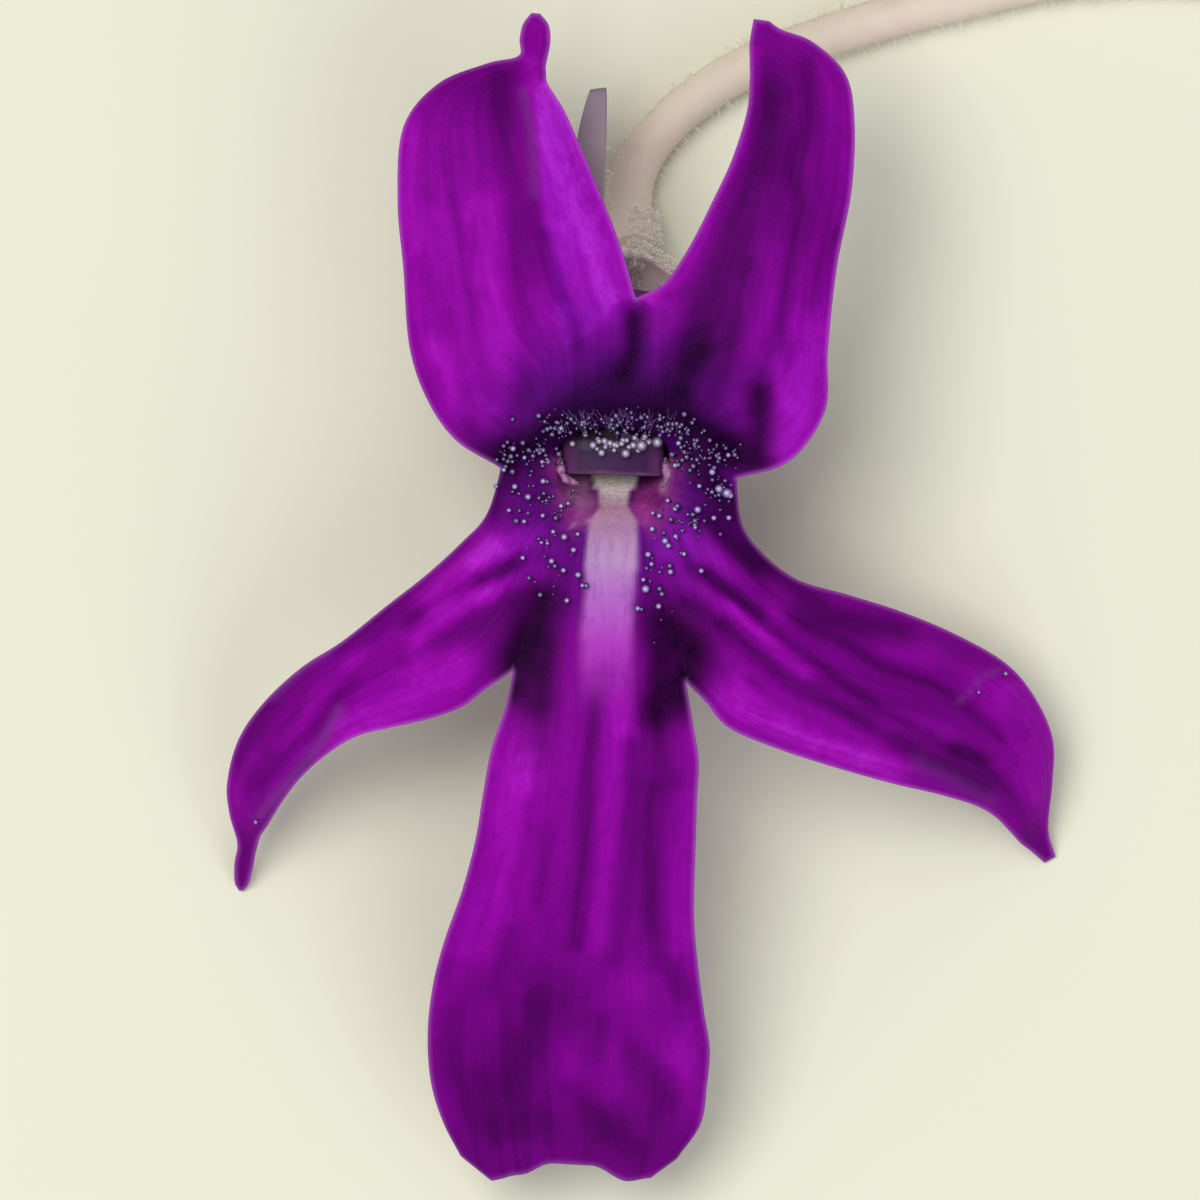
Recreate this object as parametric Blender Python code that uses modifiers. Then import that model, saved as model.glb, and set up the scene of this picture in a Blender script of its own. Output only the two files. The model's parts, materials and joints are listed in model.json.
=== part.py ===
"""A butterwort flower, picked with its stalk and laid face up on a flat surface.

The flower faces +Z, as it faces the eye, and the lower lip points to -Y. The sheet of the corolla runs
from the tips of five lobes into the throat, round a heel and out into a spur, which lies under the
lower lip. The tips of the two side lobes and the underside of the stalk touch the surface at z = 0.
All sizes below are in millimetres, and MM turns them into metres.
"""

import math

import bmesh
import bpy
from mathutils import Vector

MM = 0.001
WALL = 0.6
WELD = 0.002

# The five notches between the lobes, seen from the front.
RIGHT = (4.0, -0.3)
TOP = (0.54, 5.85)
LEFT = (-4.08, 0.07)
LOWER_LEFT = (-3.67, -6.87)
LOWER_RIGHT = (2.28, -7.28)

FACE_HEIGHT = 9.6
NOTCH_DIP = 0.35

# Each lobe is spread between two edges. A station gives a point of the first edge and one of the second,
# from the notches out to the tip. The lobes follow each other anticlockwise round the throat.
LOBES = {
    "upper_right": {
        "stations": [
            (RIGHT, TOP),
            ((5.8, 0.3), (1.4, 6.3)),
            ((7.0, 2.0), (1.9, 6.9)),
            ((7.1, 4.1), (2.5, 7.9)),
            ((7.4, 6.9), (3.2, 9.3)),
            ((7.9, 9.5), (3.8, 10.6)),
            ((8.0, 11.9), (4.3, 12.2)),
            ((7.7, 13.5), (4.4, 13.3)),
            ((6.6, 14.6), (4.4, 14.0)),
            ((5.5, 15.05), (4.4, 14.6)),
            ((5.1, 15.35), (4.55, 15.4)),
        ],
        "drop": 2.0,
        "power": 2.0,
        "arch": 0.5,
        "curl": 0.05,
        "bow": 1.1,
    },
    "upper_left": {
        "stations": [
            (TOP, LEFT),
            ((0.2, 7.1), (-5.6, 1.0)),
            ((-0.2, 8.3), (-6.6, 2.4)),
            ((-0.8, 9.8), (-7.2, 4.2)),
            ((-1.4, 11.2), (-7.4, 6.8)),
            ((-1.9, 12.3), (-7.6, 9.2)),
            ((-2.4, 13.1), (-7.4, 11.7)),
            ((-2.5, 13.4), (-6.2, 13.2)),
            ((-2.5, 13.6), (-4.5, 13.9)),
            ((-2.5, 13.9), (-3.5, 14.3)),
            ((-2.35, 14.6), (-3.4, 15.0)),
            ((-2.6, 15.55), (-3.1, 15.55)),
        ],
        "drop": 2.2,
        "power": 2.0,
        "arch": 0.5,
        "curl": 0.05,
        "bow": 1.1,
    },
    "lower_left": {
        "stations": [
            (LEFT, LOWER_LEFT),
            ((-4.6, -1.5), (-4.6, -7.5)),
            ((-5.4, -2.4), (-5.4, -8.1)),
            ((-6.6, -3.5), (-6.5, -8.5)),
            ((-8.0, -4.6), (-7.8, -8.8)),
            ((-9.5, -5.8), (-9.0, -9.1)),
            ((-10.9, -6.7), (-10.0, -9.7)),
            ((-12.2, -7.9), (-10.9, -10.5)),
            ((-13.1, -9.2), (-11.6, -11.4)),
            ((-13.5, -10.7), (-12.1, -12.2)),
            ((-13.3, -12.0), (-12.4, -12.9)),
            ((-13.2, -13.0), (-12.6, -13.5)),
            ((-13.1, -14.1), (-12.7, -14.2)),
        ],
        "drop": 9.4,
        "power": 1.8,
        "arch": 0.0,
        "curl": 0.13,
        "bow": 0.0,
    },
    "middle": {
        "stations": [
            (LOWER_LEFT, LOWER_RIGHT),
            ((-3.9, -8.0), (2.5, -8.6)),
            ((-4.4, -9.5), (2.7, -9.9)),
            ((-4.7, -11.1), (2.65, -11.2)),
            ((-4.95, -12.6), (2.6, -12.9)),
            ((-5.4, -14.3), (2.55, -15.2)),
            ((-6.0, -16.0), (2.7, -17.0)),
            ((-6.4, -17.5), (2.9, -18.5)),
            ((-6.6, -19.2), (3.1, -19.8)),
            ((-6.5, -20.9), (3.0, -21.1)),
            ((-6.1, -22.3), (2.8, -22.4)),
            ((-5.5, -23.5), (2.0, -23.6)),
        ],
        "drop": 5.6,
        "power": 2.0,
        "arch": 0.0,
        "curl": 0.05,
        "bow": 0.8,
    },
    "lower_right": {
        "stations": [
            (LOWER_RIGHT, RIGHT),
            ((2.9, -7.9), (4.2, -1.8)),
            ((3.7, -8.8), (4.9, -2.8)),
            ((5.3, -9.5), (6.1, -3.7)),
            ((7.1, -10.1), (7.8, -4.2)),
            ((9.2, -10.7), (9.7, -4.8)),
            ((10.9, -11.1), (11.6, -5.6)),
            ((12.2, -11.5), (13.3, -6.6)),
            ((12.9, -11.9), (14.3, -7.8)),
            ((13.4, -12.4), (14.9, -9.2)),
            ((13.8, -12.8), (14.9, -10.7)),
            ((14.2, -13.0), (14.75, -12.1)),
            ((14.55, -13.35), (14.85, -13.2)),
        ],
        "drop": 9.4,
        "power": 1.8,
        "arch": 0.0,
        "curl": 0.13,
        "bow": 0.0,
    },
}
# The sheet leaves the throat along a line that bows outwards under each lobe, and straightens further out.
# The curl across a lobe has grown to its full depth after this share of the lobe.
BASE_BOW_SHARE = 0.3
CURL_SHARE = 1 / 3
SPINE_STEPS = 60
LOBE_COLUMNS = 8
LOBE_ROWS = 18
FACE_ROWS = 5

# The scalloped hem of the lower lip: how far it reaches past its last station, from its left to its right.
HEM = [(0.0, 0.0), (0.14, 0.85), (0.3, 0.55), (0.42, 0.1), (0.6, 0.1), (0.8, 0.6), (0.92, 0.5), (1.0, 0.0)]
HEM_START = 0.8

# Rings of the hollow from the mouth to the tip of the spur: x of the middle, half width, then y and z of
# the lower side and y and z of the upper side.
HOLLOW = [
    (-0.12, 3.2, (-2.15, 9.45), (3.0, 9.55)),
    (-0.12, 2.65, (-1.6, 9.28), (2.5, 9.4)),
    (-0.1, 2.28, (-1.15, 8.8), (2.2, 8.95)),
    (-0.06, 2.14, (-0.7, 8.0), (2.3, 8.3)),
    (0.06, 2.1, (0.1, 6.9), (3.2, 7.5)),
    (0.22, 2.1, (0.95, 6.1), (4.5, 6.5)),
    (0.32, 2.1, (1.65, 5.55), (5.6, 5.0)),
    (0.4, 2.0, (2.0, 4.95), (5.9, 3.9)),
    (0.4, 1.8, (2.0, 4.3), (5.3, 2.9)),
    (0.35, 1.5, (1.65, 3.75), (3.9, 2.15)),
    (0.25, 1.15, (1.0, 3.35), (2.2, 1.75)),
    (0.1, 0.9, (0.0, 3.05), (0.6, 1.45)),
    (-0.1, 0.65, (-2.5, 2.45), (-2.3, 1.25)),
    (-0.4, 0.48, (-6.0, 2.0), (-5.9, 1.1)),
    (-0.7, 0.36, (-10.0, 1.55), (-10.0, 0.9)),
    (-0.8, 0.27, (-13.6, 1.25), (-13.6, 0.75)),
    (-0.8, 0.12, (-14.3, 1.12), (-14.3, 0.88)),
]
HOLLOW_STEPS = 24
# The mouth is nearly a rectangle, and the hollow has turned oval after this many rings.
MOUTH_SQUARENESS = 0.65
SQUARE_RINGS = 6

# The calyx: its inner pole, the ways it faces, and for each sepal the turn from the top, the length from
# the pole, the half width, and the lean of its tip towards the flower.
CALYX_POLE = (0.42, 6.9, 2.64)
CALYX_FACES = Vector((0.0, -0.8, 0.6))
CALYX_UP = Vector((0.0, 0.6, 0.8))
CALYX_SIDE = Vector((-1.0, 0.0, 0.0))
CALYX_CUP = 1.7
CALYX_CUP_SHARE = 1 / 3
CALYX_LEAN = 32
SEPALS = [
    (9, 8.1, 0.6, -60),
    (82, 4.6, 0.8, 50),
    (152, 4.2, 0.8, 14),
    (228, 4.2, 0.8, 14),
    (298, 4.6, 0.8, 50),
]
# A blade has its full lean after the first share of its length, and its own width after the second.
# Its tip is narrower by the taper.
SEPAL_LEAN_SHARE = 0.5
SEPAL_SPREAD_SHARE = 0.2
SEPAL_TAPER = 0.55
SEPAL_TAPER_POWER = 5
SEPAL_STEPS = 24
SEPAL_COLUMNS = 6
SEPAL_ROWS = 12

# The stalk's middle line from the calyx to the cut end, with the share of the radius at each point. Its
# sides are turned so that one of them lies flat, and what comes this near the surface is laid on it.
STALK_RADIUS = 0.75
STALK_SIDES_TURN = math.pi / 8
STALK_LOW = STALK_RADIUS * math.cos(STALK_SIDES_TURN)
LYING_SLACK = 0.02
STALK = [
    (0.44, 7.58, 2.13, 1.1),
    (0.45, 7.9, 1.89, 1.0),
    (0.44, 8.4, 1.5, 0.95),
    (0.43, 9.05, 1.07, 0.95),
    (0.46, 9.8, 0.78, 1.0),
    (0.75, 10.6, STALK_LOW, 1.0),
    (1.3, 11.5, STALK_LOW, 1.0),
    (2.3, 12.55, STALK_LOW, 1.0),
    (4.3, 13.85, STALK_LOW, 1.0),
    (7.6, 15.1, STALK_LOW, 1.0),
    (11.4, 16.15, STALK_LOW, 1.0),
    (15.6, 17.0, STALK_LOW, 1.0),
    (20.4, 17.0, STALK_LOW, 1.0),
    (25.2, 15.6, STALK_LOW, 1.0),
    (29.4, 12.9, STALK_LOW, 1.0),
    (32.9, 9.2, STALK_LOW, 1.0),
    (35.6, 4.8, STALK_LOW, 1.0),
]

# The ovary, the style and the stigma's flap: the flap's half width, then y and z, at its free lower edge
# and at its top, how far its sides bend down, and how far its upper corners are rounded off.
OVARY = (0.35, 4.35, 4.15)
OVARY_RADIUS = 1.15
STYLE = [(0.35, 4.1, 5.0), (0.32, 3.2, 6.2), (0.28, 2.1, 7.3), (0.25, 1.25, 8.2), (0.15, 0.9, 8.7)]
STYLE_RADIUS = 0.45
STIGMA_MIDDLE = -0.04
STIGMA_HALF_WIDTHS = (1.58, 1.25)
STIGMA_LOW = (-0.15, 8.95)
STIGMA_HIGH = (1.45, 9.15)
STIGMA_BOW = 0.3
STIGMA_CORNER = 0.12
STIGMA_COLUMNS = 10
STIGMA_ROWS = 4

# The stamens stand left and right of their middle: the filament's line, then the anther at its end.
STAMEN_MIDDLE = 0.32
FILAMENT_RADIUS = 0.2
FILAMENT = [(0.6, 3.1, 2.45), (0.75, 3.0, 3.4), (0.8, 2.9, 4.6), (0.85, 2.3, 5.9), (0.9, 1.3, 7.1)]
ANTHER = (0.9, 1.2, 7.2)
ANTHER_SIZE = (0.42, 0.4, 0.6)

VIOLET = (0.145, 0.006, 0.175, 1.0)
STALK_TAN = (0.42, 0.33, 0.26, 1.0)
SEPAL_GREY = (0.22, 0.17, 0.17, 1.0)
STIGMA_MAUVE = (0.1, 0.045, 0.11, 1.0)
ANTHER_CREAM = (0.62, 0.55, 0.36, 1.0)


def material(name, colour, roughness):
    """A plain Principled material."""
    made = bpy.data.materials.new(name)
    made.use_nodes = True
    shader = made.node_tree.nodes["Principled BSDF"]
    shader.inputs["Base Color"].default_value = colour
    shader.inputs["Roughness"].default_value = roughness
    return made


def node(name, mesh, collection, finish):
    """One named sub-part of the flower."""
    mesh.materials.clear()
    mesh.materials.append(finish)
    mesh.shade_smooth()
    obj = bpy.data.objects.new(name, mesh)
    collection.objects.link(obj)
    return obj


def mix(a, b, t):
    return tuple(p + (q - p) * t for p, q in zip(a, b))


def smoothstep(t):
    t = min(max(t, 0.0), 1.0)
    return t * t * (3 - 2 * t)


def through(points, place):
    """The point at this place, counted in points, on a smooth curve through them."""
    last = len(points) - 1
    i = min(int(place), last - 1)
    t = place - i
    b, c = points[i], points[i + 1]
    a = points[i - 1] if i else mix(c, b, 2)
    d = points[i + 2] if i + 2 <= last else mix(b, c, 2)
    return tuple(
        q + 0.5 * t * (r - p + t * (2 * p - 5 * q + 4 * r - s + t * (3 * (q - r) + s - p)))
        for p, q, r, s in zip(a, b, c, d)
    )


def lobe_spine(lobe):
    """The share of the lobe's length that each of its places has behind it, as a list."""
    first, second = zip(*lobe["stations"])
    places = [(len(first) - 1) * k / SPINE_STEPS for k in range(SPINE_STEPS + 1)]
    middles = [Vector(mix(through(first, place), through(second, place), 0.5)) for place in places]
    lengths = [0.0]
    for a, b in zip(middles, middles[1:]):
        lengths.append(lengths[-1] + (b - a).length)
    return [length / lengths[-1] for length in lengths]


def lobe_point(name, along, across):
    """A point of the lobe's front. along runs from the notches to the tip, across between its edges."""
    lobe = LOBES[name]
    first, second = zip(*lobe["stations"])
    place = along * (len(first) - 1)
    x, y = mix(through(first, place), through(second, place), across)
    bow = lobe["bow"] * 4 * across * (1 - across) * (1 - smoothstep(along / BASE_BOW_SHARE))
    (x1, y1), (x2, y2) = first[0], second[0]
    base = math.dist(first[0], second[0])
    x += bow * (y2 - y1) / base
    y += bow * (x1 - x2) / base
    if name == "middle":
        y -= smoothstep((along - HEM_START) / (1 - HEM_START)) * hem(across)
    spine = lobe["spine"]
    spot = along * (len(spine) - 1)
    t = through([(value,) for value in spine], spot)[0]
    half_width = math.dist(through(first, place), through(second, place)) / 2
    curl = NOTCH_DIP + (lobe["curl"] * half_width ** 2 - NOTCH_DIP) * smoothstep(t / CURL_SHARE)
    z = FACE_HEIGHT + lobe["arch"] * math.sin(math.pi * t) - lobe["drop"] * t ** lobe["power"]
    return x, y, z - curl * (2 * across - 1) ** 2


def hem(across):
    """How far the hem of the lower lip reaches past its last station here."""
    for (a, low), (b, high) in zip(HEM, HEM[1:]):
        if across <= b:
            return low + (high - low) * smoothstep((across - a) / (b - a))
    return 0.0


def ring_columns():
    """For each column round the throat: the outer point of the face and its angle round the mouth."""
    middle_x, _, low, high = HOLLOW[0]
    middle_y = (low[0] + high[0]) / 2
    columns = []
    for name in LOBES:
        for k in range(LOBE_COLUMNS):
            point = lobe_point(name, 0.0, k / LOBE_COLUMNS)
            columns.append((point, math.atan2(point[1] - middle_y, point[0] - middle_x)))
    return columns


def hollow_point(place, angle):
    """A point on the inside of the throat, the heel or the spur, at a place counted in rings."""
    x, half, low_y, low_z, high_y, high_z = through(
        [(x, half, *low, *high) for x, half, low, high in HOLLOW], place
    )
    power = MOUTH_SQUARENESS + (1 - MOUTH_SQUARENESS) * smoothstep(place / SQUARE_RINGS)
    across = math.copysign(abs(math.cos(angle)) ** power, math.cos(angle))
    up = math.copysign(abs(math.sin(angle)) ** power, math.sin(angle))
    return (
        x + half * across,
        (low_y + high_y) / 2 + (high_y - low_y) / 2 * up,
        (low_z + high_z) / 2 + (high_z - low_z) / 2 * up,
    )


def lay_grid(bm, columns, rows, point):
    """A grid laid over a surface: point gives each place of it from two numbers between 0 and 1."""
    made = bmesh.ops.create_grid(bm, x_segments=columns, y_segments=rows, size=0.5)
    for vert in made["verts"]:
        x, y, z = point(min(max(vert.co.x + 0.5, 0.0), 1.0), min(max(vert.co.y + 0.5, 0.0), 1.0))
        vert.co = Vector((x, y, z)) * MM


def corolla_sheet():
    """The front of the corolla as one open sheet, from the lobes through the throat into the spur."""
    bm = bmesh.new()
    for name in LOBES:
        lay_grid(bm, LOBE_COLUMNS, LOBE_ROWS, lambda u, v, name=name: lobe_point(name, v, u))
    columns = ring_columns()
    count = len(columns)

    def face(u, v):
        point, angle = columns[round(u * count) % count]
        lip = hollow_point(0.0, angle)
        x, y, _ = mix(lip, point, v)
        z = lip[2] + (point[2] - lip[2]) * smoothstep(v)
        return x, y, z

    def hollow(u, v):
        _, angle = columns[round(u * count) % count]
        return hollow_point(v * (len(HOLLOW) - 1), angle)

    lay_grid(bm, count, FACE_ROWS, face)
    lay_grid(bm, count, HOLLOW_STEPS, hollow)
    bmesh.ops.remove_doubles(bm, verts=bm.verts, dist=WELD * MM)
    rim = [edge for edge in bm.edges if edge.is_boundary and near_spur_tip(edge)]
    bmesh.ops.holes_fill(bm, edges=rim, sides=0)
    bmesh.ops.poke(bm, faces=[face for face in bm.faces if len(face.verts) > 4])
    top = max(bm.faces, key=lambda face: face.calc_center_median().z)
    return sheet_mesh("corolla", bm, top, Vector((0, 0, 1)))


def near_spur_tip(edge):
    x, half, low, high = HOLLOW[-1]
    middle = Vector((x, *mix(low, high, 0.5)))
    return all((vert.co / MM - middle).length < 2 * half for vert in edge.verts)


def sheet_mesh(name, bm, face, front):
    """The open sheet as a mesh of triangles, turned so that this face of it looks to the front."""
    bmesh.ops.recalc_face_normals(bm, faces=bm.faces)
    if face.normal.dot(front) < 0:
        bmesh.ops.reverse_faces(bm, faces=bm.faces)
    bmesh.ops.triangulate(bm, faces=bm.faces)
    mesh = bpy.data.meshes.new(name)
    bm.to_mesh(mesh)
    bm.free()
    return mesh


def thicken(obj, thickness, offset=-1.0):
    solidify = obj.modifiers.new("wall", "SOLIDIFY")
    solidify.thickness = thickness * MM
    solidify.offset = offset
    return obj


def applied(obj):
    """The object's mesh with its modifiers applied, in world space."""
    graph = bpy.context.evaluated_depsgraph_get()
    mesh = bpy.data.meshes.new_from_object(obj.evaluated_get(graph), depsgraph=graph)
    mesh.transform(obj.matrix_world)
    return mesh


def rest_on_surface(mesh):
    """The lowest points are pressed flat on the surface."""
    for vert in mesh.vertices:
        vert.co.z = max(vert.co.z, 0.0)


def build_corolla(collection, finish):
    sheet = thicken(node("corolla_sheet", corolla_sheet(), collection, finish), WALL)
    mesh = applied(sheet)
    bpy.data.objects.remove(sheet)
    rest_on_surface(mesh)
    return node("corolla", mesh, collection, finish)


def sepal_point(sepal, along, across):
    """A point on the inner face of the calyx: a shallow cup at the pole, then the sepal's own blade."""
    turn, length, half_width, lean = sepal
    if along < CALYX_CUP_SHARE:
        out = CALYX_CUP * along / CALYX_CUP_SHARE
    else:
        out = CALYX_CUP + (length - CALYX_CUP) * (along - CALYX_CUP_SHARE) / (1 - CALYX_CUP_SHARE)
    radius = height = 0.0
    for k in range(SEPAL_STEPS):
        spot = out * (k + 0.5) / SEPAL_STEPS
        angle = CALYX_LEAN * min(spot / CALYX_CUP, 1.0)
        past_cup = (spot - CALYX_CUP) / (length - CALYX_CUP)
        angle += (lean - CALYX_LEAN) * smoothstep(past_cup / SEPAL_LEAN_SHARE)
        radius += math.cos(math.radians(angle)) * out / SEPAL_STEPS
        height += math.sin(math.radians(angle)) * out / SEPAL_STEPS
    turns = [other[0] for other in SEPALS]
    place = turns.index(turn)
    low = (turns[place - 1] - turn) % 360 / 2 - 180
    high = (turns[(place + 1) % len(turns)] - turn) % 360 / 2
    spread = low + (high - low) * across
    if out > CALYX_CUP:
        share = (out - CALYX_CUP) / (length - CALYX_CUP)
        blade = half_width * (1 - SEPAL_TAPER * share ** SEPAL_TAPER_POWER)
        narrow = math.degrees(math.atan2(blade, radius)) * (2 * across - 1)
        spread += (narrow - spread) * smoothstep(share / SEPAL_SPREAD_SHARE)
    angle = math.radians(turn + spread)
    outward = math.cos(angle) * CALYX_UP + math.sin(angle) * CALYX_SIDE
    return tuple(Vector(CALYX_POLE) + radius * outward + height * CALYX_FACES)


def build_calyx(collection, finish):
    bm = bmesh.new()
    for sepal in SEPALS:
        lay_grid(bm, SEPAL_COLUMNS, SEPAL_ROWS, lambda u, v, sepal=sepal: sepal_point(sepal, v, u))
    bmesh.ops.remove_doubles(bm, verts=bm.verts, dist=WELD * MM)
    pole = min(bm.faces, key=lambda face: (face.calc_center_median() / MM - Vector(CALYX_POLE)).length)
    mesh = sheet_mesh("calyx", bm, pole, CALYX_FACES)
    return thicken(node("calyx", mesh, collection, finish), WALL)


def rod(name, points, radius, collection, turn=0.0, resolution=2):
    """A curve object with a round section through these points, each x, y, z and a share of the radius."""
    curve = bpy.data.curves.new(name, "CURVE")
    curve.dimensions = "3D"
    curve.twist_mode = "Z_UP"
    curve.bevel_depth = radius * MM
    curve.bevel_resolution = resolution
    curve.use_fill_caps = True
    spline = curve.splines.new("POLY")
    spline.points.add(len(points) - 1)
    for made, (x, y, z, share) in zip(spline.points, points):
        made.co = (x * MM, y * MM, z * MM, 1.0)
        made.radius = share
        made.tilt = turn
    obj = bpy.data.objects.new(name, curve)
    collection.objects.link(obj)
    return obj


def solid_rod(name, points, radius, collection, finish, turn=0.0, resolution=2):
    """The rod as a closed mesh, with its caps welded."""
    obj = rod(name + "_line", points, radius, collection, turn, resolution)
    bpy.context.view_layer.update()
    mesh = applied(obj)
    bpy.data.objects.remove(obj)
    bm = bmesh.new()
    bm.from_mesh(mesh)
    bmesh.ops.remove_doubles(bm, verts=bm.verts, dist=0.01 * WELD * MM)
    bmesh.ops.recalc_face_normals(bm, faces=bm.faces)
    bm.to_mesh(mesh)
    bm.free()
    return node(name, mesh, collection, finish)


def build_stalk(collection, finish):
    places = [k / 2 for k in range(2 * (len(STALK) - 1) + 1)]
    points = [through(STALK, place) for place in places]
    stalk = solid_rod("scape", points, STALK_RADIUS, collection, finish, STALK_SIDES_TURN)
    for vert in stalk.data.vertices:
        if vert.co.z < LYING_SLACK * MM:
            vert.co.z = 0.0
    return stalk


def ball(name, middle, size, collection, finish, segments=16, rings=10):
    bm = bmesh.new()
    bmesh.ops.create_uvsphere(bm, u_segments=segments, v_segments=rings, radius=MM)
    bmesh.ops.scale(bm, vec=size, verts=bm.verts)
    bmesh.ops.translate(bm, vec=Vector(middle) * MM, verts=bm.verts)
    mesh = bpy.data.meshes.new(name)
    bm.to_mesh(mesh)
    bm.free()
    return node(name, mesh, collection, finish)


def fused(name, pieces, collection, finish):
    """One solid from pieces that overlap."""
    base, *others = pieces
    helpers = bpy.data.collections.new(name + "_pieces")
    bpy.context.scene.collection.children.link(helpers)
    for piece in others:
        collection.objects.unlink(piece)
        helpers.objects.link(piece)
    union = base.modifiers.new("fuse", "BOOLEAN")
    union.operation = "UNION"
    union.operand_type = "COLLECTION"
    union.collection = helpers
    mesh = applied(base)
    for piece in pieces:
        bpy.data.objects.remove(piece)
    bpy.data.collections.remove(helpers)
    return node(name, mesh, collection, finish)


def stigma_point(across, up):
    """A point of the flap that hangs over the anthers in the mouth."""
    half = STIGMA_HALF_WIDTHS[0] + (STIGMA_HALF_WIDTHS[1] - STIGMA_HALF_WIDTHS[0]) * up ** 2
    side = 2 * across - 1
    y, z = mix(STIGMA_LOW, STIGMA_HIGH, up)
    return STIGMA_MIDDLE + half * side, y - STIGMA_CORNER * side * side * up, z - STIGMA_BOW * side * side


def build_pistil(collection, finish):
    bm = bmesh.new()
    lay_grid(bm, STIGMA_COLUMNS, STIGMA_ROWS, stigma_point)
    bm.faces.ensure_lookup_table()
    mesh = sheet_mesh("stigma", bm, bm.faces[0], Vector((0, 0, 1)))
    flap = thicken(node("stigma", mesh, collection, finish), WALL)
    style = solid_rod("style", [(*point, 1.0) for point in STYLE], STYLE_RADIUS, collection, finish)
    ovary = ball("ovary", OVARY, (OVARY_RADIUS,) * 3, collection, finish)
    return fused("pistil", [ovary, style, flap], collection, finish)


def build_stamen(name, side, collection, finish):
    points = [(STAMEN_MIDDLE + side * x, y, z, 1.0) for x, y, z in FILAMENT]
    filament = solid_rod("filament_" + name, points, FILAMENT_RADIUS, collection, finish, resolution=1)
    x, y, z = ANTHER
    anther = ball("anther_" + name, (STAMEN_MIDDLE + side * x, y, z), ANTHER_SIZE, collection, finish, 10, 8)
    return fused(name, [anther, filament], collection, finish)


def centre(collection):
    """The middle of the flower's box is put over the origin, with the surface at z = 0."""
    bpy.context.view_layer.update()
    graph = bpy.context.evaluated_depsgraph_get()
    corners = [Vector(corner) for obj in collection.objects for corner in obj.evaluated_get(graph).bound_box]
    flower = bpy.data.objects.new("flower", None)
    flower.location.x = -(min(corner.x for corner in corners) + max(corner.x for corner in corners)) / 2
    flower.location.y = -(min(corner.y for corner in corners) + max(corner.y for corner in corners)) / 2
    for obj in collection.objects:
        obj.parent = flower
    collection.objects.link(flower)


def main():
    for obj in list(bpy.data.objects):
        bpy.data.objects.remove(obj)
    for lobe in LOBES.values():
        lobe["spine"] = lobe_spine(lobe)
    collection = bpy.data.collections.new("butterwort_flower")
    bpy.context.scene.collection.children.link(collection)
    build_corolla(collection, material("petal", VIOLET, 0.5))
    build_calyx(collection, material("sepal", SEPAL_GREY, 0.6))
    build_stalk(collection, material("stalk", STALK_TAN, 0.6))
    build_pistil(collection, material("stigma", STIGMA_MAUVE, 0.5))
    anthers = material("anther", ANTHER_CREAM, 0.7)
    build_stamen("stamen_left", -1, collection, anthers)
    build_stamen("stamen_right", 1, collection, anthers)
    centre(collection)


main()
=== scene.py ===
# %% [markdown]
# # A violet butterwort flower, picked with its stalk
#
# The flower lies face up: a corolla of five lobes, fused into one sheet that runs down into a throat and
# on into a slender spur, with a flap of stigma over two stamens in its mouth, a calyx of five sepals
# behind it, and a hairy stalk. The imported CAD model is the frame. It says where each part sits and how
# large it is, and each piece below is a finer, thinner version of one of its nodes.
#
# All sizes are typed in millimetres, measured from the middle of the mouth, with +Y towards the top of
# the flower as it is looked at. `MM` and `SHIFT` carry them into the frame.

import json
import math
import random
from functools import lru_cache

import bmesh
import bpy
import numpy as np
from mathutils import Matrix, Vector
from mathutils.bvhtree import BVHTree
from mathutils.kdtree import KDTree


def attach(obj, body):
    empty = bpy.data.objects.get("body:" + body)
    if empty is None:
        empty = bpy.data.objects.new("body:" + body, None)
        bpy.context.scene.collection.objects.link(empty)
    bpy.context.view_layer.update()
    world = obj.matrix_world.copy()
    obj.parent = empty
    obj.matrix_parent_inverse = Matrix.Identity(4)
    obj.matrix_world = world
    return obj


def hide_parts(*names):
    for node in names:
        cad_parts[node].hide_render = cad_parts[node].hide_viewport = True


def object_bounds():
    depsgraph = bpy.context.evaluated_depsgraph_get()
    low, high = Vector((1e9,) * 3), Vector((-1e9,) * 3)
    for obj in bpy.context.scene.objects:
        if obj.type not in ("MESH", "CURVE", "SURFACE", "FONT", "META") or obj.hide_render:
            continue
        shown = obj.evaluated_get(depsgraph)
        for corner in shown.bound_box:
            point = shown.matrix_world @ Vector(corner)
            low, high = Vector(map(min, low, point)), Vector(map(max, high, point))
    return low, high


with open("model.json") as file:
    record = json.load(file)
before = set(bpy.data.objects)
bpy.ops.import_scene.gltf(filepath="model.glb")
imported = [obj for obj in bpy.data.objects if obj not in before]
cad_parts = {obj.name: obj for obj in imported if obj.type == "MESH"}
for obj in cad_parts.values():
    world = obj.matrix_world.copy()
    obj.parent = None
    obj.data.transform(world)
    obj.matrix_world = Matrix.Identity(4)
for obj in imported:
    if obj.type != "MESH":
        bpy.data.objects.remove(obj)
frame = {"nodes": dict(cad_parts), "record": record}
cad_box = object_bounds()
MM = 0.001
REST_POINT = (11.4, 16.15)
rest = frame["record"]["mounts"][0]["pos_m"]
SHIFT = Vector((rest[0] - REST_POINT[0] * MM, rest[1] - REST_POINT[1] * MM, 0.0))
print("nodes:", ", ".join(sorted(frame["nodes"])))
print("shift in mm:", [round(value / MM, 3) for value in SHIFT])

# %% [markdown]
# ## Curves through a few points
#
# Each outline of the flower is a handful of points that were read off. A Catmull-Rom curve goes
# through all of them and stays smooth, so the same short list serves a coarse solid and a fine surface.

# %% Smooth steps and curves


def mix(a, b, t):
    return tuple(p + (q - p) * t for p, q in zip(a, b))


def smoothstep(t):
    t = min(max(t, 0.0), 1.0)
    return t * t * (3 - 2 * t)


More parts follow.
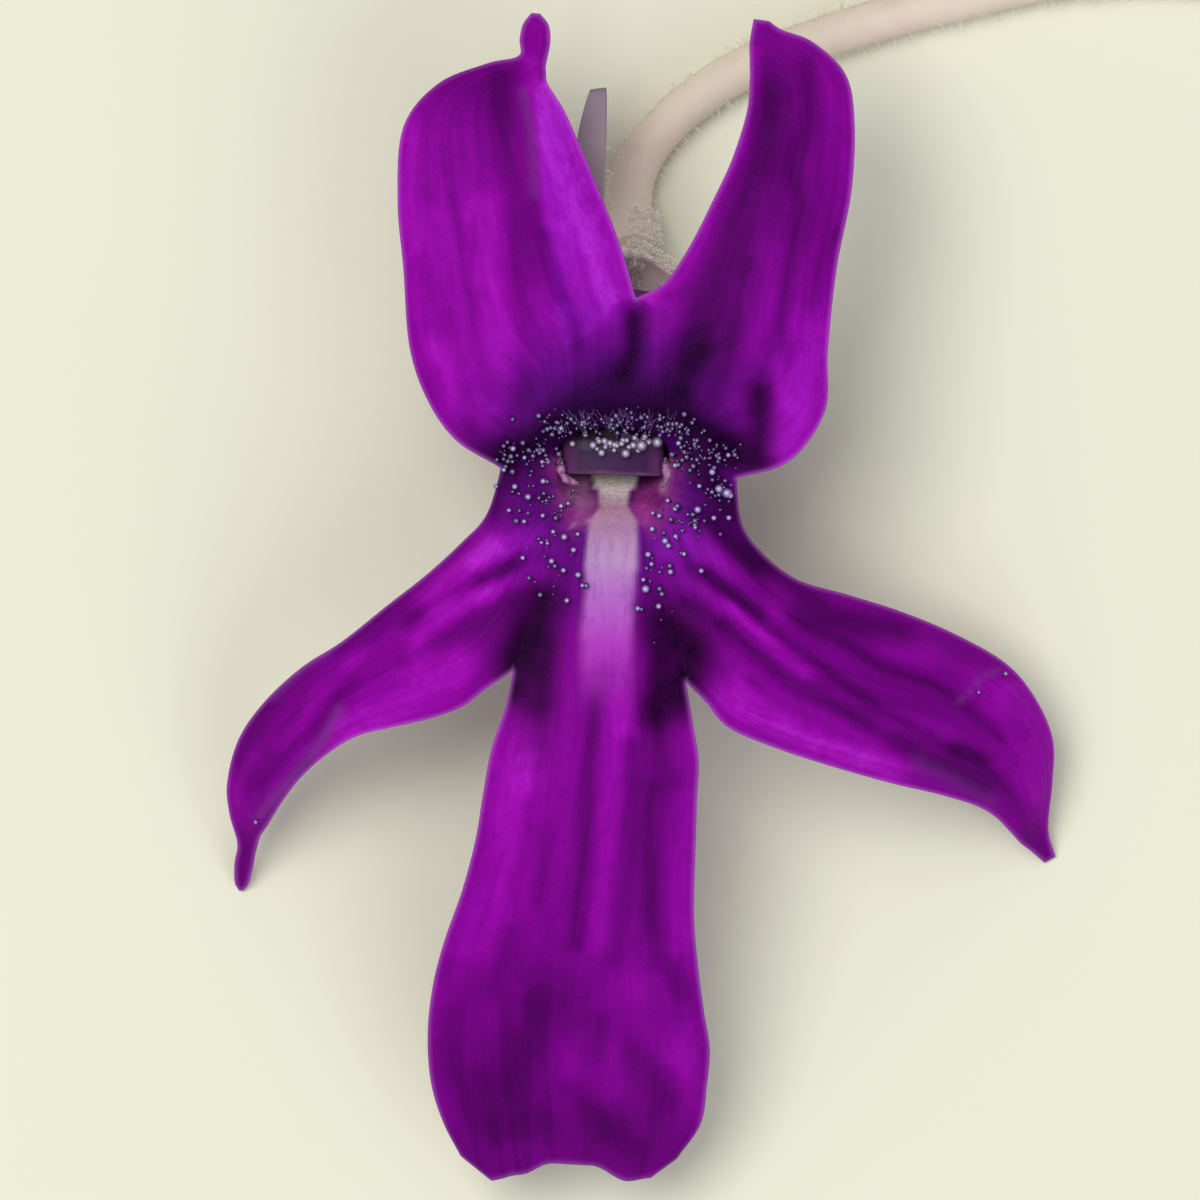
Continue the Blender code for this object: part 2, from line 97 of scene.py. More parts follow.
def through(points, place):
    """The point at this place, counted in points, on a smooth curve through them."""
    last = len(points) - 1
    i = min(int(place), last - 1)
    t = place - i
    b, c = points[i], points[i + 1]
    a = points[i - 1] if i else mix(c, b, 2)
    d = points[i + 2] if i + 2 <= last else mix(b, c, 2)
    return tuple(
        q + 0.5 * t * (r - p + t * (2 * p - 5 * q + 4 * r - s + t * (3 * (q - r) + s - p)))
        for p, q, r, s in zip(a, b, c, d)
    )


print("a smooth step after a quarter and after half:", smoothstep(0.25), smoothstep(0.5))

# %% [markdown]
# ## The five lobes
#
# A butterwort's corolla has two upper lobes and three lower ones. A petal like this can be cut from a
# plane with a knife tool, but then its mesh doesn't follow its veins. Here each lobe is spread between
# two edges instead. A station gives one point on each edge, from the notches out to the tip, so the
# rows of the mesh cross the lobe and its columns run along it, the way the veins do. The last stations
# of some lobes lie close together and draw the narrow finger in which the lobe ends.

# %% The notches and the stations of each lobe
RIGHT = (4.0, -0.3)
TOP = (0.54, 5.85)
LEFT = (-4.08, 0.07)
LOWER_LEFT = (-3.67, -6.87)
LOWER_RIGHT = (2.28, -7.28)
FACE_HEIGHT = 9.6
NOTCH_DIP = 0.35

LOBES = {
    "upper_right": {
        "stations": [
            (RIGHT, TOP),
            ((5.8, 0.3), (1.4, 6.3)),
            ((7.0, 2.0), (1.9, 6.9)),
            ((7.1, 4.1), (2.5, 7.9)),
            ((7.4, 6.9), (3.2, 9.3)),
            ((7.9, 9.5), (3.8, 10.6)),
            ((8.0, 11.9), (4.3, 12.2)),
            ((7.7, 13.5), (4.4, 13.3)),
            ((6.6, 14.6), (4.4, 14.0)),
            ((5.5, 15.05), (4.4, 14.6)),
            ((5.1, 15.35), (4.55, 15.4)),
        ],
        "form": {"drop": 2.0, "power": 2.0, "arch": 0.5, "curl": 0.05, "bow": 1.1},
    },
    "upper_left": {
        "stations": [
            (TOP, LEFT),
            ((0.2, 7.1), (-5.6, 1.0)),
            ((-0.2, 8.3), (-6.6, 2.4)),
            ((-0.8, 9.8), (-7.2, 4.2)),
            ((-1.4, 11.2), (-7.4, 6.8)),
            ((-1.9, 12.3), (-7.6, 9.2)),
            ((-2.4, 13.1), (-7.4, 11.7)),
            ((-2.5, 13.4), (-6.2, 13.2)),
            ((-2.5, 13.6), (-4.5, 13.9)),
            ((-2.5, 13.85), (-3.45, 14.15)),
            ((-2.36, 14.6), (-3.42, 14.75)),
            ((-2.42, 15.2), (-3.3, 15.25)),
            ((-2.72, 15.6), (-3.02, 15.62)),
        ],
        "form": {"drop": 2.2, "power": 2.0, "arch": 0.5, "curl": 0.05, "bow": 1.1},
    },
    "lower_left": {
        "stations": [
            (LEFT, LOWER_LEFT),
            ((-4.6, -1.5), (-4.6, -7.5)),
            ((-5.4, -2.4), (-5.4, -8.1)),
            ((-6.6, -3.5), (-6.5, -8.5)),
            ((-8.0, -4.6), (-7.8, -8.8)),
            ((-9.5, -5.8), (-9.0, -9.1)),
            ((-10.9, -6.7), (-10.0, -9.7)),
            ((-12.2, -7.9), (-10.9, -10.5)),
            ((-13.1, -9.2), (-11.6, -11.4)),
            ((-13.5, -10.7), (-12.1, -12.2)),
            ((-13.42, -11.8), (-12.38, -12.62)),
            ((-13.15, -12.8), (-12.5, -13.1)),
            ((-13.24, -13.5), (-12.58, -13.6)),
            ((-13.24, -14.15), (-12.74, -14.2)),
            ((-13.1, -14.45), (-12.95, -14.47)),
        ],
        "form": {"drop": 9.4, "power": 1.8, "arch": 0.0, "curl": 0.13, "bow": 0.0},
    },
    "middle": {
        "stations": [
            (LOWER_LEFT, LOWER_RIGHT),
            ((-3.9, -8.0), (2.5, -8.6)),
            ((-4.4, -9.5), (2.7, -9.9)),
            ((-4.7, -11.1), (2.65, -11.2)),
            ((-4.95, -12.6), (2.6, -12.9)),
            ((-5.4, -14.3), (2.55, -15.2)),
            ((-6.0, -16.0), (2.7, -17.0)),
            ((-6.4, -17.5), (2.9, -18.5)),
            ((-6.6, -19.2), (3.1, -19.8)),
            ((-6.5, -20.9), (3.0, -21.1)),
            ((-6.1, -22.3), (2.8, -22.4)),
            ((-5.5, -23.5), (2.0, -23.6)),
        ],
        "form": {"drop": 5.6, "power": 2.0, "arch": 0.0, "curl": 0.05, "bow": 0.8},
    },
    "lower_right": {
        "stations": [
            (LOWER_RIGHT, RIGHT),
            ((2.9, -7.9), (4.2, -1.8)),
            ((3.7, -8.8), (4.9, -2.8)),
            ((5.3, -9.5), (6.1, -3.7)),
            ((7.1, -10.1), (7.8, -4.2)),
            ((9.2, -10.7), (9.7, -4.8)),
            ((10.9, -11.1), (11.6, -5.6)),
            ((12.2, -11.5), (13.3, -6.6)),
            ((12.9, -11.9), (14.3, -7.8)),
            ((13.4, -12.4), (14.9, -9.2)),
            ((13.8, -12.8), (14.9, -10.7)),
            ((14.15, -13.08), (14.76, -12.3)),
            ((14.62, -13.5), (15.0, -13.28)),
        ],
        "form": {"drop": 9.4, "power": 1.8, "arch": 0.0, "curl": 0.13, "bow": 0.0},
    },
}
print("stations:", {name: len(lobe["stations"]) for name, lobe in LOBES.items()})

# %% [markdown]
# The middle lobe ends in a scalloped hem. It is kept apart from the stations, because it only moves the
# last rows, and because a hem is easier to read as one list from left to right. Each entry is a share
# of the way across and how far the hem reaches down there.

# %% The hem and the surface of a lobe
HEM = [
    (0.0, 0.0), (0.14, 0.82), (0.28, 0.6), (0.42, 0.2), (0.6, 0.25), (0.77, 0.78), (0.88, 0.66), (1.0, 0.0),
]
HEM_START = 0.8
BASE_BOW_SHARE = 0.3
SPINE_STEPS = 60
CURL_SHARE = 1 / 3


def hem(across):
    """How far the hem reaches down here. It leaves both edges of the lobe straight, and is smooth between."""
    for (a, low), (b, high) in zip(HEM, HEM[1:]):
        if across <= b:
            t = (across - a) / (b - a)
            return low + (high - low) * (smoothstep(t) if low and high else t)
    return 0.0


@lru_cache(maxsize=None)
def spine(name):
    """The share of the lobe's length behind each of its places."""
    first, second = zip(*LOBES[name]["stations"])
    places = [(len(first) - 1) * k / SPINE_STEPS for k in range(SPINE_STEPS + 1)]
    middles = [Vector(mix(through(first, p), through(second, p), 0.5)) for p in places]
    lengths = [0.0]
    for a, b in zip(middles, middles[1:]):
        lengths.append(lengths[-1] + (b - a).length)
    return [(length / lengths[-1],) for length in lengths], lengths[-1]


@lru_cache(maxsize=None)
def row(name, along):
    """What all the points of one row share: its two ends, its height and how far it curls and bows."""
    lobe = LOBES[name]
    form = lobe["form"]
    first, second = zip(*lobe["stations"])
    place = along * (len(first) - 1)
    a, b = through(first, place), through(second, place)
    shares, length = spine(name)
    t = through(shares, along * SPINE_STEPS)[0]
    curl = NOTCH_DIP + (form["curl"] * (math.dist(a, b) / 2) ** 2 - NOTCH_DIP) * smoothstep(t / CURL_SHARE)
    height = FACE_HEIGHT + form["arch"] * math.sin(math.pi * t) - form["drop"] * t ** form["power"]
    (x1, y1), (x2, y2) = first[0], second[0]
    base = math.dist(first[0], second[0])
    bow = form["bow"] * (1 - smoothstep(along / BASE_BOW_SHARE))
    return a, b, height, curl, (bow * (y2 - y1) / base, bow * (x1 - x2) / base), t * length


def lobe_point(name, along, across):
    """A point of the lobe's front, along from the notches to the tip and across between its edges."""
    a, b, height, curl, bow, _ = row(name, along)
    x, y = mix(a, b, across)
    swell = 4 * across * (1 - across)
    x += bow[0] * swell
    y += bow[1] * swell
    if name == "middle":
        y -= smoothstep((along - HEM_START) / (1 - HEM_START)) * hem(across)
    return x, y, height - curl * (2 * across - 1) ** 2


print("tip of the lower left lobe:", [round(v, 2) for v in lobe_point("lower_left", 1.0, 0.5)])

# %% [markdown]
# ## The throat and the spur
#
# From the mouth the sheet dives, turns round a heel and narrows into the spur under the lower lip. A
# tube with a changing section could be a curve with a bevel, but this one turns too tightly for that.
# So it is a stack of rings, each tilted as the real one is, with the smooth curve run through all rings.
# A ring is its middle from left to right, its half width, and the y and z of its lowest and its highest
# point. The rings at the mouth are a little squarer than a circle, since the flap fills them like a lid.

# %% The rings of the hollow
HOLLOW = [
    (-0.16, 3.05, (-2.15, 9.45), (2.35, 9.55)),
    (-0.2, 2.3, (-1.6, 9.28), (1.7, 9.42)),
    (-0.22, 1.94, (-1.15, 8.8), (1.42, 9.05)),
    (-0.18, 1.92, (-0.7, 8.0), (1.7, 8.35)),
    (0.06, 2.1, (0.1, 6.9), (3.2, 7.5)),
    (0.22, 2.1, (0.95, 6.1), (4.5, 6.5)),
    (0.32, 2.1, (1.65, 5.55), (5.6, 5.0)),
    (0.4, 2.0, (2.0, 4.95), (5.9, 3.9)),
    (0.4, 1.8, (2.0, 4.3), (5.3, 2.9)),
    (0.35, 1.5, (1.65, 3.75), (3.9, 2.15)),
    (0.25, 1.15, (1.0, 3.35), (2.2, 1.75)),
    (0.1, 0.9, (0.0, 3.05), (0.6, 1.45)),
    (-0.1, 0.65, (-2.5, 2.45), (-2.3, 1.25)),
    (-0.4, 0.48, (-6.0, 2.0), (-5.9, 1.1)),
    (-0.7, 0.36, (-10.0, 1.55), (-10.0, 0.9)),
    (-0.8, 0.27, (-13.6, 1.25), (-13.6, 0.75)),
    (-0.8, 0.12, (-14.3, 1.12), (-14.3, 0.88)),
]
RINGS = [(x, half, *low, *high) for x, half, low, high in HOLLOW]
MOUTH_SQUARENESS = 0.6
SQUARE_RINGS = 6


def hollow_point(place, angle):
    """A point on the inside of the throat, the heel or the spur, at a place counted in rings."""
    x, half, low_y, low_z, high_y, high_z = through(RINGS, place)
    power = MOUTH_SQUARENESS + (1 - MOUTH_SQUARENESS) * smoothstep(place / SQUARE_RINGS)
    across = math.copysign(abs(math.cos(angle)) ** power, math.cos(angle))
    up = math.copysign(abs(math.sin(angle)) ** power, math.sin(angle))
    return (
        x + half * across,
        (low_y + high_y) / 2 + (high_y - low_y) / 2 * up,
        (low_z + high_z) / 2 + (high_z - low_z) / 2 * up,
    )


print("the mouth is", round(2 * HOLLOW[0][1], 1), "mm wide")

# %% [markdown]
# ## One sheet from three kinds of grid
#
# The real corolla is grown in one piece, so the lobes, the face round the mouth and the hollow have to
# meet without a seam. Each is a grid from `bmesh.ops.create_grid`, laid over its own formula. Where two
# grids share an edge, the formulas give the same points there, and merging the doubles sews them up.
#
# The columns crowd towards both edges of a lobe, since the petals thin out and turn pale there. Every
# point also keeps a note of where it lies on its lobe: its share of the way across, stretched to the
# same width everywhere, and its millimetres along. The veins of the finish follow that note, so they
# fan out where a lobe widens, as real ones do.

# %% Laying a grid over a formula
LOBE_COLUMNS = 50
LOBE_ROWS = 100
FACE_ROWS = 16
HOLLOW_ROWS = 44
WELD = 0.002
EDGE_CROWDING = 0.72
VEIN_WIDTH = 8.0
LOBE_STEP = 10.0


def crowded(u):
    """The same run from 0 to 1, with small steps at both ends."""
    return u + (0.5 - 0.5 * math.cos(math.pi * u) - u) * EDGE_CROWDING


def lay_grid(bm, columns, rows, point, note=None):
    """A grid over a surface: point gives a place in mm, and note what to write down about it."""
    layer = bm.verts.layers.float_vector.get("flow") or bm.verts.layers.float_vector.new("flow")
    made = bmesh.ops.create_grid(bm, x_segments=columns, y_segments=rows, size=0.5)
    for vert in made["verts"]:
        u = min(max(vert.co.x + 0.5, 0.0), 1.0)
        v = min(max(vert.co.y + 0.5, 0.0), 1.0)
        vert.co = Vector(point(u, v)) * MM + SHIFT
        if note:
            vert[layer] = Vector(note(u, v))
    return made["verts"]


def lobe_note(name, u, v):
    """Where a point lies on its lobe: across, mm along, and a step for each lobe, to tell them apart."""
    return (crowded(u) - 0.5) * VEIN_WIDTH, row(name, v)[-1], LOBE_STEP * list(LOBES).index(name)


print("columns round the flower:", len(LOBES) * LOBE_COLUMNS)


# %% The open sheet
FACE_LENGTH = 3.0
HOLLOW_LENGTH = 20.0


@lru_cache(maxsize=None)
def ring_column(k):
    """For one column round the throat: the outer point of the face, its angle, its lobe and its place."""
    name = list(LOBES)[k // LOBE_COLUMNS]
    across = crowded(k % LOBE_COLUMNS / LOBE_COLUMNS)
    point = lobe_point(name, 0.0, across)
    middle_x, _, low, high = HOLLOW[0]
    angle = math.atan2(point[1] - (low[0] + high[0]) / 2, point[0] - middle_x)
    return point, angle, name, across


def corolla_sheet():
    """The front of the corolla as one open sheet, from the lobes through the throat into the spur."""
    bm = bmesh.new()
    count = len(LOBES) * LOBE_COLUMNS
    for name in LOBES:
        lay_grid(
            bm, LOBE_COLUMNS, LOBE_ROWS,
            lambda u, v, name=name: lobe_point(name, v, crowded(u)),
            lambda u, v, name=name: lobe_note(name, u, v),
        )

    def column(u):
        return ring_column(round(u * count) % count)

    def face(u, v):
        point, angle, _, _ = column(u)
        lip = hollow_point(0.0, angle)
        x, y, _ = mix(lip, point, v)
        return x, y, lip[2] + (point[2] - lip[2]) * smoothstep(v)

    def face_note(u, v):
        _, _, name, across = column(u)
        return (across - 0.5) * VEIN_WIDTH, FACE_LENGTH * (v - 1), LOBE_STEP * list(LOBES).index(name)

    def inside(u, v):
        return hollow_point(v * (len(HOLLOW) - 1), column(u)[1])

    def inside_note(u, v):
        across, _, lobe = face_note(u, 0.0)
        return across, -FACE_LENGTH - HOLLOW_LENGTH * v, lobe

    lay_grid(bm, count, FACE_ROWS, face, face_note)
    lay_grid(bm, count, HOLLOW_ROWS, inside, inside_note)
    bmesh.ops.remove_doubles(bm, verts=bm.verts, dist=WELD * MM)
    rim = [edge for edge in bm.edges if edge.is_boundary and near_spur_tip(edge)]
    bmesh.ops.holes_fill(bm, edges=rim, sides=0)
    bmesh.ops.poke(bm, faces=[face for face in bm.faces if len(face.verts) > 4])
    return bm


def near_spur_tip(edge):
    x, half, low, high = HOLLOW[-1]
    middle = Vector((x, *mix(low, high, 0.5))) * MM + SHIFT
    return all((vert.co - middle).length < 2 * half * MM for vert in edge.verts)


def face_up(bm, front=Vector((0, 0, 1))):
    """Turns the sheet so that its highest face looks the way of front."""
    bmesh.ops.recalc_face_normals(bm, faces=bm.faces)
    top = max(bm.faces, key=lambda face: face.calc_center_median().dot(front))
    if top.normal.dot(front) < 0:
        bmesh.ops.reverse_faces(bm, faces=bm.faces)


sheet = corolla_sheet()
face_up(sheet)
print("corolla sheet:", len(sheet.verts), "points,", len(sheet.faces), "faces")

# %% [markdown]
# ## Folds, grooves and markings
#
# A fresh petal is full of water and far from flat. Long grooves run down each lobe, and between them the
# tissue swells and catches the light. In this flower the grooves are also the darkest places. One list
# of strokes therefore does two jobs: it sinks or lifts the sheet a little, and it darkens or brightens
# the finish. The darkening is partly the petal's own darker veins and partly painted shade in the grooves,
# and the brightening is painted light on the swellings. A stroke is a strength, a half width and a path.
# Its effect fades like a soft brush.

# %% Strokes on the lobes
# Negative strokes darken the grooves, partly as the petal's own veins and partly as painted shade; positive
# strokes are painted light on the swellings.
STROKES = {
    "upper_left": [
        (-0.45, 0.4, [
            (-4.0, 13.4), (-4.0, 12.0), (-3.7, 10.3), (-3.5, 8.1), (-3.4, 5.8), (-3.3, 3.6), (-3.1, 2.4),
        ]),
        (-0.35, 0.9, [(-5.3, 13.4), (-4.4, 13.0), (-3.8, 12.6)]),
        (0.3, 0.8, [(-5.8, 8.5), (-5.2, 6.0), (-4.4, 4.0)]),
        (-0.3, 0.17, [(-5.7, 9.2), (-5.5, 7.5), (-5.1, 5.8), (-4.9, 4.1), (-4.4, 2.4)]),
        (-0.35, 0.25, [(-6.9, 7.0), (-6.0, 4.7), (-5.3, 3.0), (-5.1, 1.3)]),
        (-0.3, 0.15, [(-2.5, 8.1), (-1.8, 5.8), (-1.4, 4.1)]),
        (-0.25, 0.14, [(-1.4, 7.5), (-0.9, 5.8), (-0.5, 4.5)]),
        (-0.4, 0.18, [(-3.2, 12.6), (-3.0, 10.3), (-2.9, 9.0), (-2.5, 7.4), (-2.1, 5.8)]),
        (-0.5, 0.14, [(-2.4, 14.5), (-2.4, 14.0), (-2.6, 13.4)]),
        (0.85, 0.68, [(-2.6, 12.6), (-2.2, 11.2), (-1.5, 9.7), (-0.9, 8.1), (-0.4, 6.6), (-0.1, 5.5)]),
        (0.55, 0.56, [(-4.4, 9.0), (-4.3, 7.0), (-4.0, 5.3), (-3.6, 3.8)]),
        (0.5, 0.45, [(-7.3, 11.5), (-7.3, 9.2), (-6.9, 7.0), (-6.5, 4.7), (-6.0, 3.0), (-5.6, 2.1)]),
        (0.45, 0.39, [(-5.8, 4.1), (-5.2, 3.0), (-4.4, 2.2)]),
        (0.3, 0.45, [(-2.7, 5.8), (-2.3, 4.9)]),
        (0.5, 0.25, [(-3.0, 13.8), (-2.5, 12.7)]),
    ],
    "upper_right": [
        (-0.4, 1.2, [(5.4, 13.5), (5.2, 11.0), (4.8, 8.5), (4.0, 6.3), (3.2, 4.5)]),
        (-0.45, 0.51, [(5.1, 12.8), (5.0, 10.9), (4.4, 9.2), (3.7, 7.5), (2.9, 5.8), (2.3, 4.1)]),
        (-0.4, 0.25, [
            (6.4, 14.0), (6.5, 12.0), (5.9, 10.3), (6.2, 9.0), (5.8, 7.2), (5.5, 5.3), (5.1, 3.6), (4.7, 2.1),
        ]),
        (-0.35, 0.23, [(4.4, 7.0), (3.9, 5.3), (3.7, 3.8), (3.2, 2.4)]),
        (-0.3, 0.15, [(7.4, 8.1), (6.8, 7.0), (6.4, 5.3), (5.8, 3.6)]),
        (0.15, 0.45, [(5.9, 14.5), (6.8, 13.7), (7.5, 12.3), (7.5, 10.3)]),
        (0.2, 0.34, [(4.8, 9.7), (4.7, 7.5), (4.1, 5.8)]),
        (0.45, 0.16, [
            (4.6, 14.3), (4.5, 12.6), (4.1, 10.9), (3.2, 9.2), (2.7, 7.9), (2.2, 6.7), (1.5, 6.1), (1.0, 5.8),
        ]),
        (0.45, 0.45, [(1.1, 5.5), (1.4, 4.7), (1.8, 5.3)]),
        (0.3, 0.28, [(5.4, 7.5), (5.1, 5.8), (4.6, 4.1)]),
        (0.7, 0.68, [(6.8, 4.7), (6.7, 3.0), (6.4, 1.7), (5.6, 0.5)]),
        (-0.2, 0.5, [(7.2, 11.5), (6.9, 8.0)]),
        (0.45, 0.32, [(5.4, 3.6), (5.5, 2.4)]),
    ],
    "lower_left": [
        (-0.55, 0.37, [(-5.4, -2.5), (-6.9, -3.6), (-8.5, -5.0), (-9.7, -5.9)]),
        (-0.6, 0.2, [(-3.3, -3.0), (-4.4, -3.5), (-5.4, -3.9), (-6.4, -4.5), (-7.2, -5.1)]),
        (-0.6, 0.49, [(-3.7, -4.4), (-5.0, -5.2), (-6.0, -5.8)]),
        (-0.35, 0.29, [(-9.7, -7.0), (-10.7, -7.7), (-11.6, -9.0), (-12.4, -10.2), (-12.8, -11.0)]),
        (-0.55, 0.29, [(-10.7, -6.5), (-11.6, -7.3), (-12.4, -8.4), (-12.9, -9.4), (-13.2, -10.2)]),
        (-0.3, 0.16, [(-9.7, -7.7), (-10.7, -9.0), (-11.6, -9.8), (-12.3, -10.8)]),
        (-0.3, 0.25, [(-9.2, -7.3), (-9.7, -8.0), (-10.3, -9.0)]),
        (-0.6, 0.15, [(-10.7, -10.1), (-11.3, -11.0), (-11.9, -11.8), (-12.2, -12.6)]),
        (-0.45, 0.58, [(-12.8, -13.1), (-12.9, -14.2)]),
        (0.85, 0.45, [(-4.4, -2.6), (-5.2, -3.2), (-6.0, -3.9), (-6.4, -4.3)]),
        (0.7, 0.29, [(-4.5, -4.1), (-5.2, -4.5), (-6.0, -5.0), (-6.9, -5.7)]),
        (0.75, 0.58, [(-5.6, -6.7), (-6.4, -7.3), (-7.3, -8.0), (-8.5, -8.6), (-9.3, -9.0)]),
        (0.4, 0.25, [(-9.0, -6.3), (-10.2, -7.5), (-11.0, -8.6), (-11.8, -9.4)]),
        (0.35, 0.33, [(-12.6, -9.8), (-13.2, -10.6), (-13.2, -11.3)]),
    ],
    "lower_right": [
        (-0.3, 0.6, [(3.0, -2.2), (4.6, -3.4)]),
        (-0.3, 1.0, [(4.2, -3.2), (6.5, -5.2), (9.0, -7.0), (11.0, -8.0)]),
        (-0.6, 0.38, [(3.9, -1.5), (4.7, -3.0), (5.7, -3.8), (7.1, -4.8), (8.7, -5.2), (9.7, -5.4)]),
        (-0.65, 0.18, [
            (3.0, -3.5), (4.0, -4.3), (5.0, -5.2), (5.9, -6.0), (7.1, -6.8), (8.3, -7.7), (9.7, -8.6),
            (11.2, -9.4), (12.6, -9.9),
        ]),
        (-0.5, 0.17, [
            (4.9, -4.0), (6.3, -5.2), (7.7, -5.8), (8.9, -6.6), (10.7, -7.2), (12.1, -8.2), (13.1, -9.1),
        ]),
        (-0.65, 0.26, [
            (3.7, -5.3), (4.9, -6.4), (5.9, -7.3), (7.1, -7.9), (8.3, -8.6), (9.7, -9.4), (11.2, -10.2),
            (12.6, -10.9),
        ]),
        (-0.4, 0.17, [(4.5, -7.2), (5.5, -8.0), (6.7, -8.6), (7.9, -9.2)]),
        (-0.5, 0.3, [(11.7, -9.7), (13.1, -10.6), (13.9, -11.6)]),
        (-0.15, 0.5, [(9.7, -9.4), (11.7, -10.6), (13.1, -11.5)]),
        (-0.4, 0.4, [(14.2, -12.4), (14.6, -13.1)]),
        (0.65, 0.42, [(2.5, -2.0), (3.7, -3.0), (4.7, -3.8), (5.5, -4.5)]),
        (0.6, 0.3, [(4.0, -4.8), (5.2, -5.8), (6.3, -6.8)]),
        (0.9, 0.55, [(3.7, -7.6), (4.9, -8.4), (6.1, -9.0), (7.7, -9.7), (9.2, -10.3)]),
        (0.3, 0.3, [(9.3, -6.0), (10.7, -6.4)]),
        (0.35, 0.4, [(9.3, -8.6), (10.2, -8.8), (11.0, -9.0)]),
        (0.5, 0.7, [(13.6, -7.6), (14.4, -8.6), (14.6, -10.1), (14.4, -11.1)]),
        (0.3, 0.5, [(12.1, -7.2), (13.1, -7.8)]),
    ],
    "middle": [
        (-0.6, 0.21, [
            (-0.7, -7.4), (-0.9, -8.7), (-1.1, -10.6), (-1.2, -13.1), (-1.4, -15.0), (-1.5, -16.2),
        ]),
        (-0.4, 0.24, [(0.5, -9.4), (0.3, -12.6), (0.0, -15.0), (-0.2, -16.7)]),
        (-0.45, 0.29, [(1.1, -10.9), (1.0, -13.1), (1.1, -15.0), (1.5, -16.7), (2.2, -17.9)]),
        (-0.25, 0.18, [(-2.7, -12.3), (-2.7, -13.6), (-2.9, -14.8)]),
        (-0.3, 0.19, [(-3.8, -15.7), (-4.1, -16.7), (-4.4, -17.9)]),
        (-0.65, 0.85, [(-2.9, -18.3), (-3.4, -19.7), (-4.1, -20.9)]),
        (-0.16, 3.0, [(-1.6, -18.0), (-1.6, -22.5)]),
        (-0.2, 0.9, [(1.9, -10.5), (1.8, -14.5)]),
        (-0.15, 1.0, [(-4.9, -14.0), (-5.2, -17.0)]),
        (-0.4, 1.0, [(-3.2, -22.2), (-1.6, -22.6), (1.4, -22.2)]),
        (-0.45, 0.51, [(-5.9, -18.9), (-5.8, -20.4), (-5.3, -21.9), (-4.3, -22.8)]),
        (-0.2, 0.39, [(-2.6, -22.3), (-3.5, -22.5), (-4.4, -22.5)]),
        (-0.4, 0.35, [(-1.9, -21.2), (-1.0, -21.9), (-0.4, -22.7), (0.4, -23.2)]),
        (-0.35, 0.4, [(0.5, -20.0), (1.1, -20.7), (1.9, -21.6)]),
        (-0.3, 0.3, [(-0.7, -18.9), (-0.8, -20.1)]),
        (-0.4, 0.39, [(-5.7, -23.0), (-4.3, -24.2), (-3.5, -24.0)]),
        (-0.3, 0.49, [(-0.7, -23.9), (0.4, -24.0), (1.7, -23.6)]),
        (0.4, 0.36, [(-0.2, -7.6), (-0.2, -9.4), (-0.3, -11.6), (-0.6, -14.3), (-0.7, -16.1)]),
        (0.45, 0.7, [(-3.6, -9.3), (-3.8, -10.6), (-4.1, -13.1), (-4.7, -15.0), (-5.3, -16.1)]),
        (0.5, 0.32, [(-3.1, -9.8), (-3.3, -10.9)]),
        (0.35, 0.39, [(2.1, -8.8), (2.2, -10.6), (2.1, -13.1), (2.0, -14.8), (2.1, -16.2)]),
        (0.5, 0.24, [(0.3, -7.7), (0.3, -8.8)]),
        (0.25, 0.36, [(-3.5, -17.7), (-3.5, -18.9)]),
        (0.3, 0.49, [(-1.7, -20.1), (-1.7, -21.6)]),
        (0.3, 0.36, [(-0.2, -20.1), (-0.2, -21.3)]),
        (0.55, 0.51, [(2.2, -19.9), (2.5, -21.6)]),
        (0.25, 0.49, [(0.4, -17.4), (0.5, -17.9)]),
        (0.3, 0.3, [(-6.3, -17.7), (-6.3, -19.1)]),
    ],
    "face": [
        (0.6, 0.33, [(-4.8, -3.0), (-3.8, -2.6), (-2.8, -2.2)]),
        (0.6, 0.26, [(-4.8, -4.3), (-3.8, -3.9), (-2.8, -3.5)]),
        (-0.5, 0.16, [(-4.8, -3.7), (-3.5, -3.2)]),
        (0.5, 0.39, [(1.7, -1.8), (2.7, -2.8), (3.7, -3.5)]),
        (0.5, 0.26, [(1.4, -2.6), (2.4, -3.8), (3.7, -4.6)]),
        (-0.5, 0.2, [(2.4, -3.3), (3.7, -4.1), (4.8, -4.8)]),
        (-0.5, 0.2, [(2.1, -4.5), (3.4, -5.2)]),
    ],
}
print("strokes:", sum(len(strokes) for strokes in STROKES.values()))

# %% [markdown]
# Round the throat the violet turns almost black, and a pale streak, the palate, leads from the middle of
# that dark ring out onto the lower lip. On either side of it sit two reddish pouches. They are strokes of
# their own, since each of them changes to another colour. The palate is wider and narrower along its way,
# so it is a list of its middle, its half width and its height on the face.

